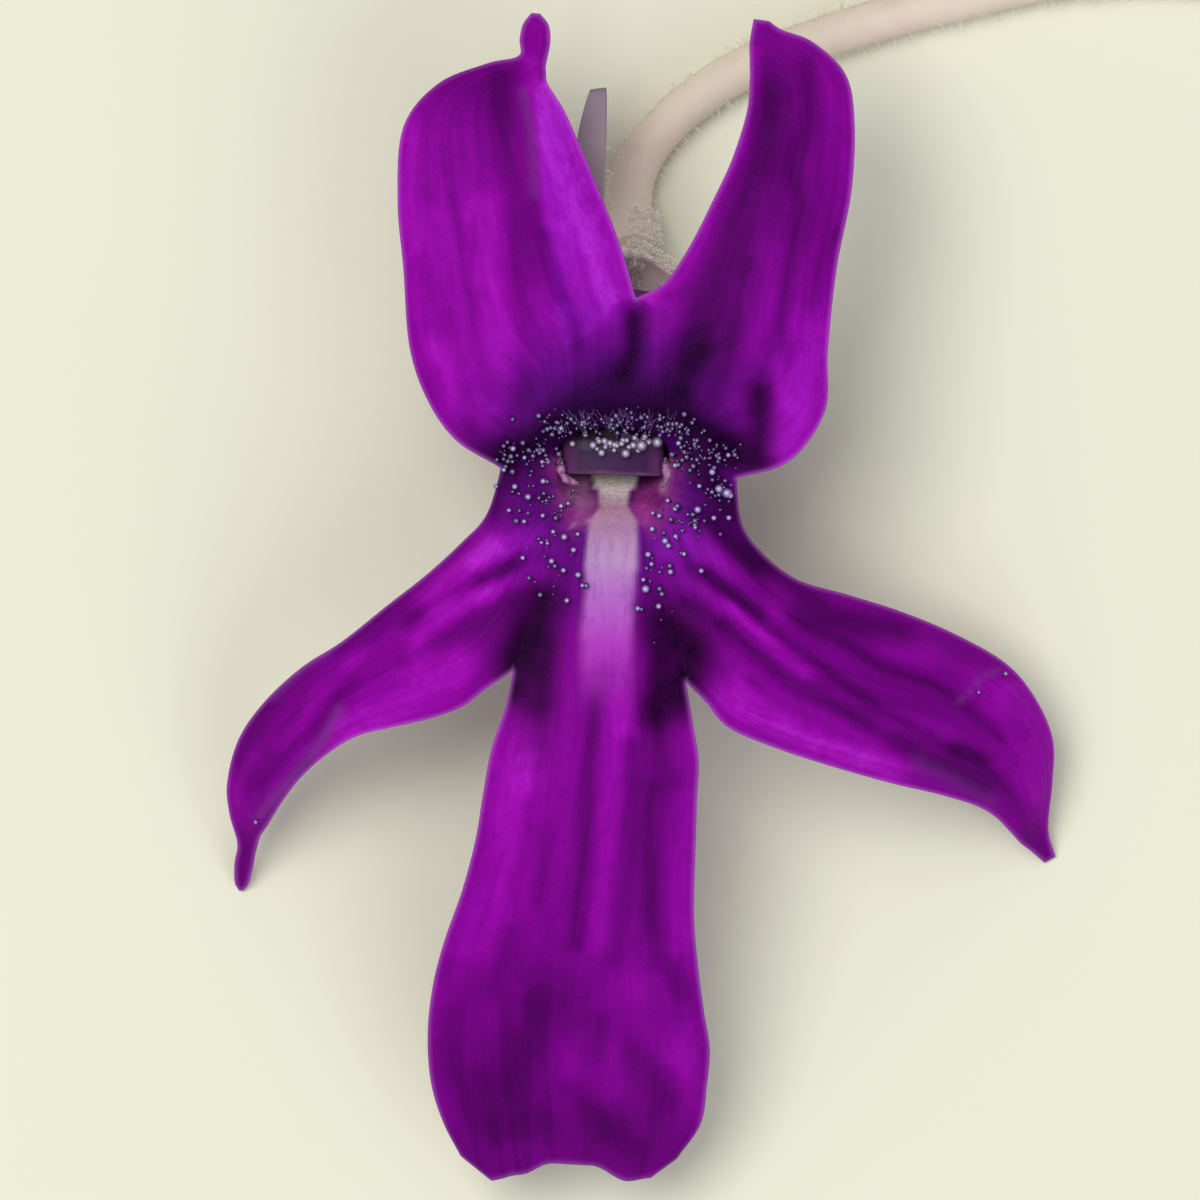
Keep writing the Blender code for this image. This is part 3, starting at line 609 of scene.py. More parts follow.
# %% Strokes round the throat
NIGHT = [
    (0.3, 0.5, [(-4.6, 0.8), (-3.6, 1.1), (-2.3, 1.9), (-0.9, 2.8), (0.2, 3.6)]),
    (0.9, 0.45, [(0.5, 5.2), (0.5, 4.1), (0.1, 3.3)]),
    (1.0, 0.8, [(-4.0, 0.4), (-2.5, 1.1), (-0.3, 2.0), (2.0, 1.8), (3.8, 0.8)]),
    (0.85, 0.56, [(2.7, 4.0), (2.2, 3.3), (1.9, 2.4)]),
    (0.85, 0.51, [(4.7, 2.6), (4.8, 1.3), (4.5, 0.4)]),
    (0.8, 0.56, [(3.8, 0.4), (4.8, 0.2)]),
    (1.0, 1.0, [(-2.6, -4.5), (-3.1, -5.7), (-3.4, -6.4)]),
    (1.0, 1.05, [(1.5, -5.2), (2.4, -6.0), (2.3, -6.8), (2.0, -7.6)]),
    (0.4, 0.9, [(2.7, 4.5), (2.2, 3.3), (1.6, 2.2)]),
    (0.65, 1.1, [(-1.6, 2.0), (-0.2, 2.8), (1.6, 2.2)]),
    (0.7, 0.45, [(3.0, -1.7), (4.0, -2.7), (4.7, -3.3)]),
    (0.7, 0.6, [(-2.7, -6.0), (-2.8, -7.2), (-2.8, -8.0)]),
    (0.35, 0.75, [(-2.7, -6.5), (-2.8, -8.2), (-2.9, -9.4)]),
    (0.9, 0.62, [(1.5, -6.0), (1.4, -7.5), (1.2, -8.4)]),
    (0.45, 0.6, [(1.2, -8.0), (1.4, -9.4), (1.6, -10.6)]),
    (0.9, 0.5, [(-3.3, -5.9), (-3.7, -6.9), (-3.6, -7.6)]),
    (0.6, 0.59, [(-4.8, 0.2), (-4.1, -0.4), (-4.4, -1.3)]),
    (0.6, 0.59, [(3.0, 0.2), (2.7, -0.4), (3.8, -1.3)]),
    (0.6, 0.5, [(2.2, 0.6), (2.9, -0.2), (3.6, -1.0)]),
    (0.4, 0.4, [(-3.9, 0.2), (-2.9, 0.1), (-2.4, 0.5)]),
    (0.25, 0.8, [(-3.0, -0.5), (-2.6, -1.6)]),
    (0.3, 0.6, [(2.4, -3.2), (3.0, -4.2)]),
]
POUCHES = [
    (0.95, 0.55, [(-1.9, 0.1), (-1.4, -0.6), (-1.05, -1.2)]),
    (0.95, 0.55, [(1.5, 0.1), (0.95, -0.7), (0.75, -1.3)]),
    (0.6, 0.45, [(-1.9, -0.9), (-1.6, -1.7)]),
    (0.6, 0.45, [(1.5, -0.9), (1.2, -1.7)]),
]
PALE_CORNERS = [
    (0.8, 0.15, [(-1.95, 0.3), (-1.85, -0.2), (-1.6, -0.42), (-1.2, -0.5)]),
    (0.7, 0.14, [(1.6, 0.3), (1.55, -0.25), (1.45, -0.6)]),
    (0.35, 0.06, [(-0.75, -1.5), (-1.1, -1.75), (-1.6, -1.85)]),
    # This stroke lightens the left pouch: painted light where the pale fold beside it casts shade.
    (0.3, 0.35, [(-1.5, -0.8), (-1.2, -1.1)]),
    (0.35, 0.06, [(0.3, -1.4), (0.55, -1.7)]),
]
# Painted sheen: pale grey-violet light along folds and edges of the lower lobes and along the fold of the
# upper left lobe.
FOLD_SHEEN = [
    (0.75, 0.2, [(-9.6, -8.2), (-10.2, -9.3), (-11.0, -10.3), (-11.8, -11.2), (-12.4, -11.9)]),
    (0.35, 0.3, [(10.2, -10.0), (11.6, -10.7), (12.7, -11.3)]),
    (0.7, 0.09, [(11.6, -7.95), (12.1, -7.45), (12.4, -7.05), (13.1, -6.75)]),
    (0.4, 0.12, [(-11.9, -7.8), (-11.0, -6.9), (-10.0, -6.2)]),
    (0.5, 0.18, [(-3.3, 12.9), (-3.0, 11.4), (-2.9, 9.4)]),
]
PALATE = [
    (-0.15, 0.8, 0.6), (-0.15, 0.75, -0.4), (-0.2, 0.5, -0.75), (-0.22, 0.46, -1.25), (-0.25, 0.82, -1.85),
    (-0.25, 0.85, -2.4), (-0.3, 0.88, -3.2), (-0.35, 0.8, -4.1), (-0.45, 0.85, -5.4), (-0.5, 0.9, -9.0),
]


def stroke_weight(x, y, width, path):
    """How strongly each point feels a stroke: 1 on its path, fading over its half width."""
    nearest = np.full(len(x), np.inf)
    for (x1, y1), (x2, y2) in zip(path, path[1:]):
        dx, dy = x2 - x1, y2 - y1
        t = np.clip(((x - x1) * dx + (y - y1) * dy) / (dx * dx + dy * dy), 0, 1)
        nearest = np.minimum(nearest, np.hypot(x - x1 - t * dx, y - y1 - t * dy))
    return np.exp(-((nearest / width) ** 2))


def painted(x, y, strokes):
    """The strokes laid over each other like glazes, so that they never add up past the strongest."""
    bare = np.ones(len(x))
    for strength, width, path in strokes:
        bare *= 1 - strength * stroke_weight(x, y, width, path)
    return 1 - bare


print("strokes round the throat:", sum(map(len, (NIGHT, POUCHES, PALE_CORNERS, FOLD_SHEEN))))

# %% [markdown]
# The sheet becomes a mesh object, and its masks are worked out for all points at once. `shade` runs from
# -1 in the grooves to 1 on the swellings: the petal's own darker veins, with painted shade in the grooves
# and painted light on the swellings. `rim` is 1 at the very edge of a lobe, where it paints a thin line
# of light. A mask on the points could be an image too, but an attribute needs no unwrapping and follows
# the mesh when it bends.

# %% The masks of the corolla
STROKE_STRENGTH = 0.85
STROKE_SOFTNESS = 1.35
MOUTH_END = -11.0
MOUTH_FADE = 1.5
FIBRE_FADE = 0.8
BORDER_FADE = 1.5


def to_mesh(bm, name):
    mesh = bpy.data.meshes.new(name)
    bm.to_mesh(mesh)
    bm.free()
    return mesh


def points_of(mesh):
    co = np.empty(len(mesh.vertices) * 3)
    mesh.vertices.foreach_get("co", co)
    return co.reshape(-1, 3)


def write_mask(mesh, name, values):
    layer = mesh.attributes.get(name) or mesh.attributes.new(name, "FLOAT", "POINT")
    layer.data.foreach_set("value", np.asarray(values, np.float32))


corolla_mesh = to_mesh(sheet, "corolla_sheet")
place = (points_of(corolla_mesh) - np.array(SHIFT)) / MM
flow = np.empty(len(place) * 3, np.float32)
corolla_mesh.attributes["flow"].data.foreach_get("vector", flow)
flow = flow.reshape(-1, 3)
x, y, z = place.T
along = flow[:, 1]


def eased(values):
    values = np.clip(values, 0, 1)
    return values * values * (3 - 2 * values)


on_lobe = eased(along / FACE_LENGTH + 1)
mouth = eased((along - MOUTH_END) / MOUTH_FADE)
border = VEIN_WIDTH / 2 - np.abs(flow[:, 0])
fibre = np.maximum(eased(along / FIBRE_FADE), eased(border / FIBRE_FADE))
shade = np.zeros(len(x))
for index, name in enumerate(LOBES):
    mine = np.abs(flow[:, 2] / LOBE_STEP - index) < 0.5
    reach = np.where(along > 0, 1.0, on_lobe * eased(border / BORDER_FADE)) * mine
    for strength, width, path in STROKES[name]:
        shade += STROKE_STRENGTH * strength * stroke_weight(x, y, STROKE_SOFTNESS * width, path) * reach
for strength, width, path in STROKES["face"]:
    shade += STROKE_STRENGTH * strength * stroke_weight(x, y, STROKE_SOFTNESS * width, path) * mouth
print("darkest and brightest stroke:", shade.min().round(2), shade.max().round(2))

# %% [markdown]
# The upper left lobe is folded along a line from its finger down to the throat. To the right of the line
# the petal turns to the light, and to the left of it lies a groove. The light on the facet is painted into
# `shade`, and so is the shade in the groove, and the facet also gets a painted bluish sheen. The fold is
# worked out from how far each point lies to the right of the line, which gives it a crisp edge that a
# stroke can't have.

# %% The fold of the upper left lobe
FOLD = [(-2.99, 13.43), (-2.79, 11.46), (-2.62, 9.21), (-2.41, 6.97), (-2.11, 4.76), (-1.77, 3.06)]
FOLD_SOFTNESS = 0.12
FOLD_ENDS = (3.0, 13.6)
FOLD_FADES = (2.5, 1.6)
FACET_REACH = 2.0
FACET_LIGHT = 0.34
GROOVE_PLACE = 0.3
GROOVE_WIDTH = 0.32
GROOVE_SHADE = 0.05
fold_x, fold_y = np.array(FOLD[::-1]).T
beyond = x - np.interp(y, fold_y, fold_x)
on_upper_left = (np.abs(flow[:, 2] / LOBE_STEP - 1) < 0.5) * (along > -0.5)
fold_share = eased((y - FOLD_ENDS[0]) / FOLD_FADES[0]) * eased((FOLD_ENDS[1] - y) / FOLD_FADES[1])
fold_share = fold_share * on_upper_left
facet = eased(beyond / FOLD_SOFTNESS / 2 + 0.5) * np.exp(-((beyond / FACET_REACH) ** 2)) * fold_share
groove = np.exp(-(((beyond + GROOVE_PLACE) / GROOVE_WIDTH) ** 2)) * fold_share
shade = np.clip(shade + FACET_LIGHT * facet - GROOVE_SHADE * groove, -1, 1)
print("points on the facet:", int((facet > 0.5).sum()))

# %% The masks round the throat
THROAT_MIDDLE = (-0.1, 0.4)
THROAT_REACH = (4.3, 4.4)
COOL_MIDDLE = (6.3, 3.0)
COOL_REACH = (1.6, 3.0)
PALATE_EDGE = (0.22, 0.57)
PALATE_SOFTENS = (2.5, 4.0)
PALATE_ENDS = (5.5, 3.5)
LOW_SIDE = (0.3, 0.5)
INSIDE_STARTS = (5.4, 3.2)
INSIDE_UP = 0.9
FACET_SHEEN = 0.8
COOL_VIOLET = 0.4
THROAT_VIOLET = 0.9


def past(values, begin, fade):
    """How far the values are past where something begins, counted in the length of its fade."""
    return (values - begin) / fade


def spot_weight(middle, reach, power=1.0):
    """1 at the middle of an oval, fading over its reach to both sides."""
    far = ((x - middle[0]) / reach[0]) ** 2 + ((y - middle[1]) / reach[1]) ** 2
    return np.exp(-(far ** power))


low_side = 1 - eased(past(y, *LOW_SIDE))
night = painted(x, y, NIGHT) * mouth
pouch = painted(x, y, POUCHES) * mouth * low_side
frost = painted(x, y, FOLD_SHEEN) * on_lobe
streak_y, streak_x, streak_half = np.array([(spot[2], spot[0], spot[1]) for spot in PALATE])[::-1].T
half = np.interp(y, streak_y, streak_half)
softness = PALATE_EDGE[0] + (PALATE_EDGE[1] - PALATE_EDGE[0]) * np.clip(past(-y, *PALATE_SOFTENS), 0, 1)
side = (half - np.abs(x - np.interp(y, streak_y, streak_x))) / softness
palate = eased(side + 0.5) * low_side * mouth * (1 - eased(past(-y, *PALATE_ENDS)))
throat = spot_weight(THROAT_MIDDLE, THROAT_REACH, 1.6)
inside = eased(past(-along, *INSIDE_STARTS)) * eased((y + INSIDE_UP) / INSIDE_UP)
pale = painted(x, y, PALE_CORNERS) * mouth * low_side
# The facet's share of `violet` is a painted bluish sheen; the other two shares turn the colour cooler low on
# the upper right lobe and round the throat.
violet = FACET_SHEEN * facet + COOL_VIOLET * spot_weight(COOL_MIDDLE, COOL_REACH) + THROAT_VIOLET * throat
violet = np.clip(violet, 0, 1)
print("points in the dark ring:", int((night > 0.5).sum()), "and on the palate:", int((palate > 0.5).sum()))

# %% The edge of the petals and their painted line of light
EDGE_FADE = 0.22


def distance_to_edge(mesh):
    """How far each point lies from the open edge of the sheet, in mm."""
    bm = bmesh.new()
    bm.from_mesh(mesh)
    edge = [vert.co.copy() for vert in bm.verts if vert.is_boundary]
    bm.free()
    tree = KDTree(len(edge))
    for k, spot in enumerate(edge):
        tree.insert(spot, k)
    tree.balance()
    return np.array([tree.find(vert.co)[2] / MM for vert in mesh.vertices])


edge_distance = distance_to_edge(corolla_mesh)
# `rim` marks a thin painted line of light along the open edge of the lobes.
rim = np.clip(1 - edge_distance / EDGE_FADE, 0, 1) * on_lobe
for name, values in {
    "shade": shade, "night": night, "pouch": pouch, "frost": frost, "palate": palate,
    "throat": throat, "inside": inside, "rim": rim, "fibre": fibre, "violet": violet, "pale": pale,
}.items():
    write_mask(corolla_mesh, name, values)
print("points at the rim:", int((rim > 0.5).sum()))

# %% [markdown]
# ## From a sheet to a petal
#
# The relief pushes each point along its normal, by a fifth of a millimetre at most, so the sheet stays
# within the wall of the solid that it stands for. Solidify then gives the sheet its wall, all of it behind
# the front, with a vertex group that thins it to a third at the open edge. The sheet has two material
# slots, and Solidify gives the second one to the back, which isn't coloured like the front. Last, every
# point is held inside the box of the CAD model, so the flower keeps its size to the last tenth.

# %% Relief, wall and box
RELIEF = 0.2
RELIEF_ON_FACE = 0.3
RELIEF_SUNK = 0.35
WALL = 0.3
THIN_EDGE = 0.35
THIN_FADE = 0.7


def push(mesh, heights):
    """Moves each point along its normal by this many mm."""
    normals = np.array([vert.normal for vert in mesh.vertices])
    moved = points_of(mesh) + normals * np.asarray(heights)[:, None] * MM
    mesh.vertices.foreach_set("co", moved.ravel())
    mesh.update()


def add_object(name, mesh):
    obj = bpy.data.objects.new(name, mesh)
    bpy.context.scene.collection.objects.link(obj)
    return obj


def applied(obj):
    """The object again with its modifiers applied, at the origin."""
    bpy.context.view_layer.update()
    graph = bpy.context.evaluated_depsgraph_get()
    mesh = bpy.data.meshes.new_from_object(obj.evaluated_get(graph), depsgraph=graph)
    name = obj.name
    bpy.data.objects.remove(obj)
    return add_object(name, mesh)


def thickened(obj, wall, thin=None):
    solidify = obj.modifiers.new("wall", "SOLIDIFY")
    solidify.thickness = wall * MM
    solidify.offset = -1.0
    solidify.material_offset = 1
    if thin is not None:
        group = obj.vertex_groups.new(name="wall")
        for k, weight in enumerate(thin):
            group.add([k], float(weight), "REPLACE")
        solidify.vertex_group = "wall"
    return applied(obj)


def kept_in_box(obj, margin=0.0):
    """Holds every point inside the CAD box. Returns how far the furthest one had to move, in mm."""
    low, high = (np.array(corner) for corner in cad_box)
    co = points_of(obj.data)
    held = np.clip(co, low + margin * MM, high - margin * MM)
    obj.data.vertices.foreach_set("co", held.ravel())
    obj.data.update()
    return float(np.abs(held - co).max() / MM)


swell = np.clip(shade * 0.8 - night * 0.3, -1, 0.9) * eased(edge_distance / 0.8) * mouth
share_of_relief = RELIEF_ON_FACE + (1 - RELIEF_ON_FACE) * on_lobe
push(corolla_mesh, RELIEF * (swell * share_of_relief - RELIEF_SUNK * on_lobe))
corolla = add_object("corolla_petals", corolla_mesh)
for _ in ("front", "back"):
    corolla_mesh.materials.append(None)
corolla = thickened(corolla, WALL, THIN_EDGE + (1 - THIN_EDGE) * np.clip(edge_distance / THIN_FADE, 0, 1))
print("held in the box by", round(kept_in_box(corolla), 3), "mm;", len(corolla.data.vertices), "points")

# %% [markdown]
# ## Shader sums as Python sums
#
# A finish is a network of small sums over masks and noise. Typed as nodes and links, it is hard to read.
# `Number` wraps a socket, so that `1 - mask * 0.5` adds the two Math nodes by itself. Colours can't go
# through a Math node, which would turn them grey, so `blended` puts a Mix node between two colours.

# %% A socket that can be added and multiplied


class Number:
    """A number that varies over the surface."""

    def __init__(self, finish, socket):
        self.finish = finish
        self.socket = socket

    def math(self, operation, a, b=0.0):
        made = self.finish.node("Math", {"operation": operation}, {0: a, 1: b})
        return Number(self.finish, made.outputs[0])

    def __add__(self, other):
        return self.math("ADD", self, other)

    def __radd__(self, other):
        return self.math("ADD", other, self)

    def __sub__(self, other):
        return self.math("SUBTRACT", self, other)

    def __rsub__(self, other):
        return self.math("SUBTRACT", other, self)

    def __mul__(self, other):
        return self.math("MULTIPLY", self, other)

    def __rmul__(self, other):
        return self.math("MULTIPLY", other, self)

    def __pow__(self, other):
        return self.math("POWER", self, other)

    def __abs__(self):
        return self.math("ABSOLUTE", self)

    def held(self, low=0.0, high=1.0):
        """The number kept between two limits."""
        return self.math("MINIMUM", self.math("MAXIMUM", self, low), high)


print("a socket now understands + - * ** and abs")

# %% [markdown]
# A `Finish` is one material. It holds a method that makes any node, and a few short ones for what the
# finishes of this flower share: a mask, a place, a noise, a ramp and a blend. All colours are typed as
# they would be read off a screen, from 0 to 255, and are made linear where they meet a socket.

# %% A finish and the nodes it is made of


def from_screen(colour):
    """A screen colour of 0 to 255 as the linear colour that a shader needs, with its alpha."""
    shares = [part / 255 for part in colour]
    linear = [share / 12.92 if share <= 0.04045 else ((share + 0.055) / 1.055) ** 2.4 for share in shares]
    return (*linear, 1.0)


class Finish:
    """A Principled material. What is the same all over is set on the shader's own sockets."""

    def __init__(self, name, **constants):
        self.material = bpy.data.materials.new(name)
        self.material.use_nodes = True
        self.tree = self.material.node_tree
        self.shader = self.tree.nodes["Principled BSDF"]
        for key, value in constants.items():
            self.shader.inputs[key.replace("_", " ")].default_value = value

    def node(self, kind, settings=None, sockets=None):
        """Any node, with its settings first and then the values or links of its sockets."""
        made = self.tree.nodes.new("ShaderNode" + kind)
        for key, value in (settings or {}).items():
            if key == "stops":
                for k, (spot, colour) in enumerate(value):
                    if k > 1:
                        made.color_ramp.elements.new(spot)
                    made.color_ramp.elements[k].position = spot
                    made.color_ramp.elements[k].color = from_screen(colour)
            else:
                setattr(made, key, value)
        for key, value in (sockets or {}).items():
            self.feed(made.inputs[key], value)
        return made

    def feed(self, entry, value):
        if isinstance(value, Number):
            value = value.socket
        if isinstance(value, bpy.types.NodeSocket):
            self.tree.links.new(value, entry)
        elif isinstance(value, tuple) and entry.type == "RGBA":
            entry.default_value = from_screen(value)
        else:
            entry.default_value = value

    def mask(self, name):
        """A number that the mesh carries at each point."""
        made = self.node("Attribute", {"attribute_name": name})
        return Number(self, made.outputs["Fac"])

    def place(self):
        return self.node("TexCoord").outputs["Object"]

    def note(self):
        """The note of where a point lies on its lobe, its sepal or the flap."""
        return self.node("Attribute", {"attribute_name": "flow"}).outputs["Vector"]

    def flow(self, across, along):
        """The note, stretched so that noise on it runs lengthwise."""
        scaled = self.node("VectorMath", {"operation": "MULTIPLY"}, {0: self.note(), 1: (across, along, 1.0)})
        return scaled.outputs["Vector"]

    def parts(self, vector):
        """The x, y and z of a vector, each as a number."""
        return [Number(self, part) for part in self.node("SeparateXYZ", {}, {0: vector}).outputs]

    def noise(self, vector, scale, detail=2.0, roughness=0.5):
        """Noise that runs from about -1 to 1."""
        entries = {"Vector": vector, "Scale": scale, "Detail": detail, "Roughness": roughness}
        return (Number(self, self.node("TexNoise", {}, entries).outputs["Fac"]) - 0.5) * 3.0

    def ramp(self, number, stops):
        """The colour of the ramp at this number, which is held between 0 and 1."""
        made = self.node("ValToRGB", {"stops": stops}, {"Fac": number.held()})
        return made.outputs["Color"]

    def blended(self, number, a, b):
        """Colour a where the number is 0 or less, and colour b where it is 1 or more."""
        made = self.node("Mix", {"data_type": "RGBA"}, {0: number.held(), 6: a, 7: b})
        return made.outputs[2]

    def paint(self, colour, roughness=None):
        self.feed(self.shader.inputs["Base Color"], colour)
        if roughness is not None:
            self.feed(self.shader.inputs["Roughness"], roughness)

    def bump(self, height, distance):
        made = self.node("Bump", {}, {"Strength": 1.0, "Distance": distance * MM, "Height": height})
        self.feed(self.shader.inputs["Normal"], made.outputs["Normal"])


print("a screen grey of 128 in linear light:", round(from_screen((128, 128, 128))[0], 3))

# %% [markdown]
# ## The petal's finish
#
# A butterwort petal is a deep, saturated violet with a soft satin skin of tiny rounded cells. The main
# colour comes from one ramp over `shade`, from the near black of the grooves through magenta to the
# lighter violet of the swellings, so it carries the painted shade of the grooves and the painted light of
# the swellings along with the petal's own colour. Noise that is stretched along each lobe adds the finer
# veins, and the masks for the throat, the palate, the pouches and the rim glaze over it in turn.

# %% Colours of the corolla
STREAK_LENGTH = 9.0
TUBE_START = 4.0
NECK_MIDDLE = 1.1
petal = Finish("petal_finish", Roughness=0.5, Specular_IOR_Level=0.015)
fibre_mask = petal.mask("fibre")
veins = petal.noise(petal.flow(0.9, 0.12), 1.0, 3.0, 0.6) * fibre_mask
vein_lines = petal.noise(petal.flow(1.1, 0.09), 1.0, 2.0, 0.5)
vein_lines = (1 - (abs(vein_lines) * 3.0).held()) * fibre_mask
threads = petal.noise(petal.flow(5.0, 0.35), 1.0, 2.0, 0.5) * fibre_mask
mottle = petal.noise(petal.place(), 350.0, 3.0, 0.6)
cells = petal.noise(petal.place(), 9000.0, 1.0, 0.5)
grain = petal.noise(petal.flow(3.2, 0.9), 1.0, 4.0, 0.65) * fibre_mask
velvet = petal.noise(petal.place(), 1500.0, 4.0, 0.65)
shaded = petal.mask("shade") * (veins * 0.16 + grain * 0.16 + velvet * 0.1 + 0.44)
detail = veins * 0.055 - vein_lines * 0.06 + threads * 0.012 + grain * 0.035 + velvet * 0.055
depth = shaded + detail + mottle * 0.03 + cells * 0.035 + 0.53
skin = petal.ramp(depth, [
    (0.0, (50, 4, 60)),
    (0.25, (86, 3, 98)),
    (0.45, (116, 4, 130)),
    (0.62, (140, 7, 154)),
    (0.8, (158, 16, 174)),
    (1.0, (176, 38, 196)),
])
print("nodes in the skin of the petals:", len(petal.tree.nodes))

# %% [markdown]
# A glaze is a colour that a mask lets through, and a later one lies over an earlier one. First come a
# cooler violet, with a painted sheen on the fold's facet, and the dusk near the throat, then the dark ring,
# the pouches, the painted sheen along some folds and edges and the painted shadow inside the throat. The
# palate has its own run of colours, from cream to magenta. The pale corners and the painted light along
# the rim come last.

# %% Glazes over the skin
near = petal.mask("throat")
skin = petal.blended(petal.mask("violet") * 0.4, skin, petal.ramp(depth, [
    (0.0, (30, 5, 56)), (0.5, (88, 8, 140)), (1.0, (156, 36, 212)),
]))
dusk = petal.ramp(depth, [
    (0.0, (26, 6, 44)), (0.4, (54, 10, 88)), (0.7, (88, 18, 130)), (1.0, (124, 30, 168)),
])
glaze = petal.blended(near * 0.8, skin, dusk)
glaze = petal.blended(petal.mask("night") * (0.95 + velvet * 0.12), glaze, (24, 1, 31))
pouch_colour = petal.blended(velvet * 0.6 + 0.5, (90, 12, 80), (180, 70, 156))
glaze = petal.blended(petal.mask("pouch"), glaze, pouch_colour)
glaze = petal.blended(petal.mask("frost") * 0.7, glaze, (122, 52, 140))
glaze = petal.blended(petal.mask("inside"), glaze, (24, 6, 28))
down = (petal.parts(petal.place())[1] * (1 / MM) - (SHIFT.y / MM)) * (-1 / STREAK_LENGTH)
# The first stops, near white, are the palate's cream brightened with painted light where the flap shades it.
streak = petal.ramp(down + mottle * 0.008, [
    (0.0, (255, 250, 218)),
    (0.07, (255, 238, 238)),
    (0.14, (190, 142, 164)),
    (0.22, (166, 124, 160)),
    (0.34, (182, 142, 190)),
    (0.46, (178, 108, 194)),
    (0.66, (174, 60, 186)),
    (1.0, (144, 12, 156)),
])
seam = petal.noise(petal.flow(2.5, 0.7), 1.0, 3.0, 0.65) * 0.6 + velvet
neck = 1 - (abs(down * STREAK_LENGTH - NECK_MIDDLE) * 1.4).held()
stain = (seam * 0.2 + 0.06 + neck * 0.35 * seam.held()).held(0.0, 0.6)
streak = petal.blended(stain, streak, (112, 52, 112))
ragged = petal.mask("palate") * (velvet * 0.45 + grain * 0.35 + 1.0)
glaze = petal.blended(ragged, glaze, streak)
glaze = petal.blended(petal.mask("pale"), glaze, (196, 150, 184))
# A painted line of light along the edge of the petals.
glaze = petal.blended(petal.mask("rim") ** 2.0 * 0.55, glaze, (188, 100, 204))
petal.paint(glaze, (0.5 + mottle * 0.05 - petal.mask("night") * 0.1).held(0.2, 0.9))
petal.bump(cells * 0.5 + velvet * 0.5, 0.02)
print("glazes laid:", len(petal.tree.nodes), "nodes in the petal's finish")

# %% [markdown]
# ## The back of the corolla
#
# Behind, the petals are duller and paler, and the tube and the spur fade from violet to a brownish tip.
# The same finish could tell front from back by its normal, but a petal bends through every direction. The
# wall's second material slot knows the back for certain, so the back has a finish of its own. It reads the
# note of how far down the tube a point lies.

# %% The back of the petals and the spur
back = Finish("petal_back_finish", Roughness=0.6, Specular_IOR_Level=0.1)
back_fibre = back.noise(back.flow(1.2, 0.12), 1.0, 3.0, 0.6) * back.mask("fibre")
back_mottle = back.noise(back.place(), 500.0, 3.0, 0.6)
# The back keeps a weaker copy of the front's painted shade and painted light from `shade`.
back_depth = back.mask("shade") * 0.2 + back_fibre * 0.1 + back_mottle * 0.05 + 0.5
under = back.ramp(back_depth, [
    (0.0, (84, 22, 96)), (0.5, (126, 34, 140)), (1.0, (156, 62, 172)),
])
spur_length = HOLLOW_LENGTH - TUBE_START + FACE_LENGTH
down_spur = (back.parts(back.note())[1] * -1.0 - TUBE_START) * (1 / spur_length)
tube_colour = back.ramp(down_spur + back_mottle * 0.03, [
    (0.0, (112, 36, 124)), (0.45, (122, 62, 130)), (0.8, (140, 96, 136)),
    (1.0, (150, 124, 118)),
])
under = back.blended(down_spur * 8.0, under, tube_colour)
# A weaker painted line of light along the edge of the back.
back.paint(back.blended(back.mask("rim") * 0.3, under, (170, 90, 188)))
back.bump(back_mottle, 0.02)
print("finish of the back:", len(back.tree.nodes), "nodes")

# %% Dressing the corolla
corolla.data.materials[0] = petal.material
corolla.data.materials[1] = back.material
corolla.data.shade_smooth()
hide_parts("corolla")
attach(corolla, "root")
print("corolla dressed in:", [material.name for material in corolla.data.materials])

# %% [markdown]
# ## The floor, the light and the camera
#
# They come before the small parts, so that each new part can be looked at as soon as it is made. The
# camera looks straight down with a long lens, so nothing is foreshortened. Two soft boxes and a pale
# sky light the flower from above, as a window and its room would.

# %% Floor
FLOOR_SIZE = 6.0
floor_bm = bmesh.new()
bmesh.ops.create_grid(floor_bm, x_segments=1, y_segments=1, size=FLOOR_SIZE / 2)
floor = add_object("floor", to_mesh(floor_bm, "floor"))
floor_finish = Finish("floor_finish", Roughness=0.9, Specular_IOR_Level=0.1)
floor_finish.paint((226, 226, 204))
floor.data.materials.append(floor_finish.material)
print("floor:", FLOOR_SIZE, "m wide")

# %% Lights and sky


def soft_box(name, spot, aim, size, watts, colour):
    """A square lamp that shines from spot towards aim and isn't seen itself."""
    lamp = bpy.data.lights.new(name, "AREA")
    lamp.size = size
    lamp.energy = watts
    lamp.color = colour
    obj = bpy.data.objects.new(name, lamp)
    obj.location = Vector(spot)
    obj.rotation_euler = (Vector(aim) - Vector(spot)).to_track_quat("-Z", "Y").to_euler()
    obj.visible_camera = False
    bpy.context.scene.collection.objects.link(obj)
    return obj


soft_box("window", (-0.2, 0.12, 0.6), (0, 0, 0), 0.35, 2.6, (1.0, 0.98, 0.95))
soft_box("room", (0.2, -0.35, 0.45), (0, 0, 0), 0.5, 1.3, (0.92, 0.95, 1.0))
sky = bpy.data.worlds.new("pale_sky")
sky.use_nodes = True
sky.node_tree.nodes["Background"].inputs["Color"].default_value = (0.93, 0.95, 1.0, 1.0)
sky.node_tree.nodes["Background"].inputs["Strength"].default_value = 0.4
bpy.context.scene.world = sky
bpy.context.scene.view_settings.view_transform = "Standard"

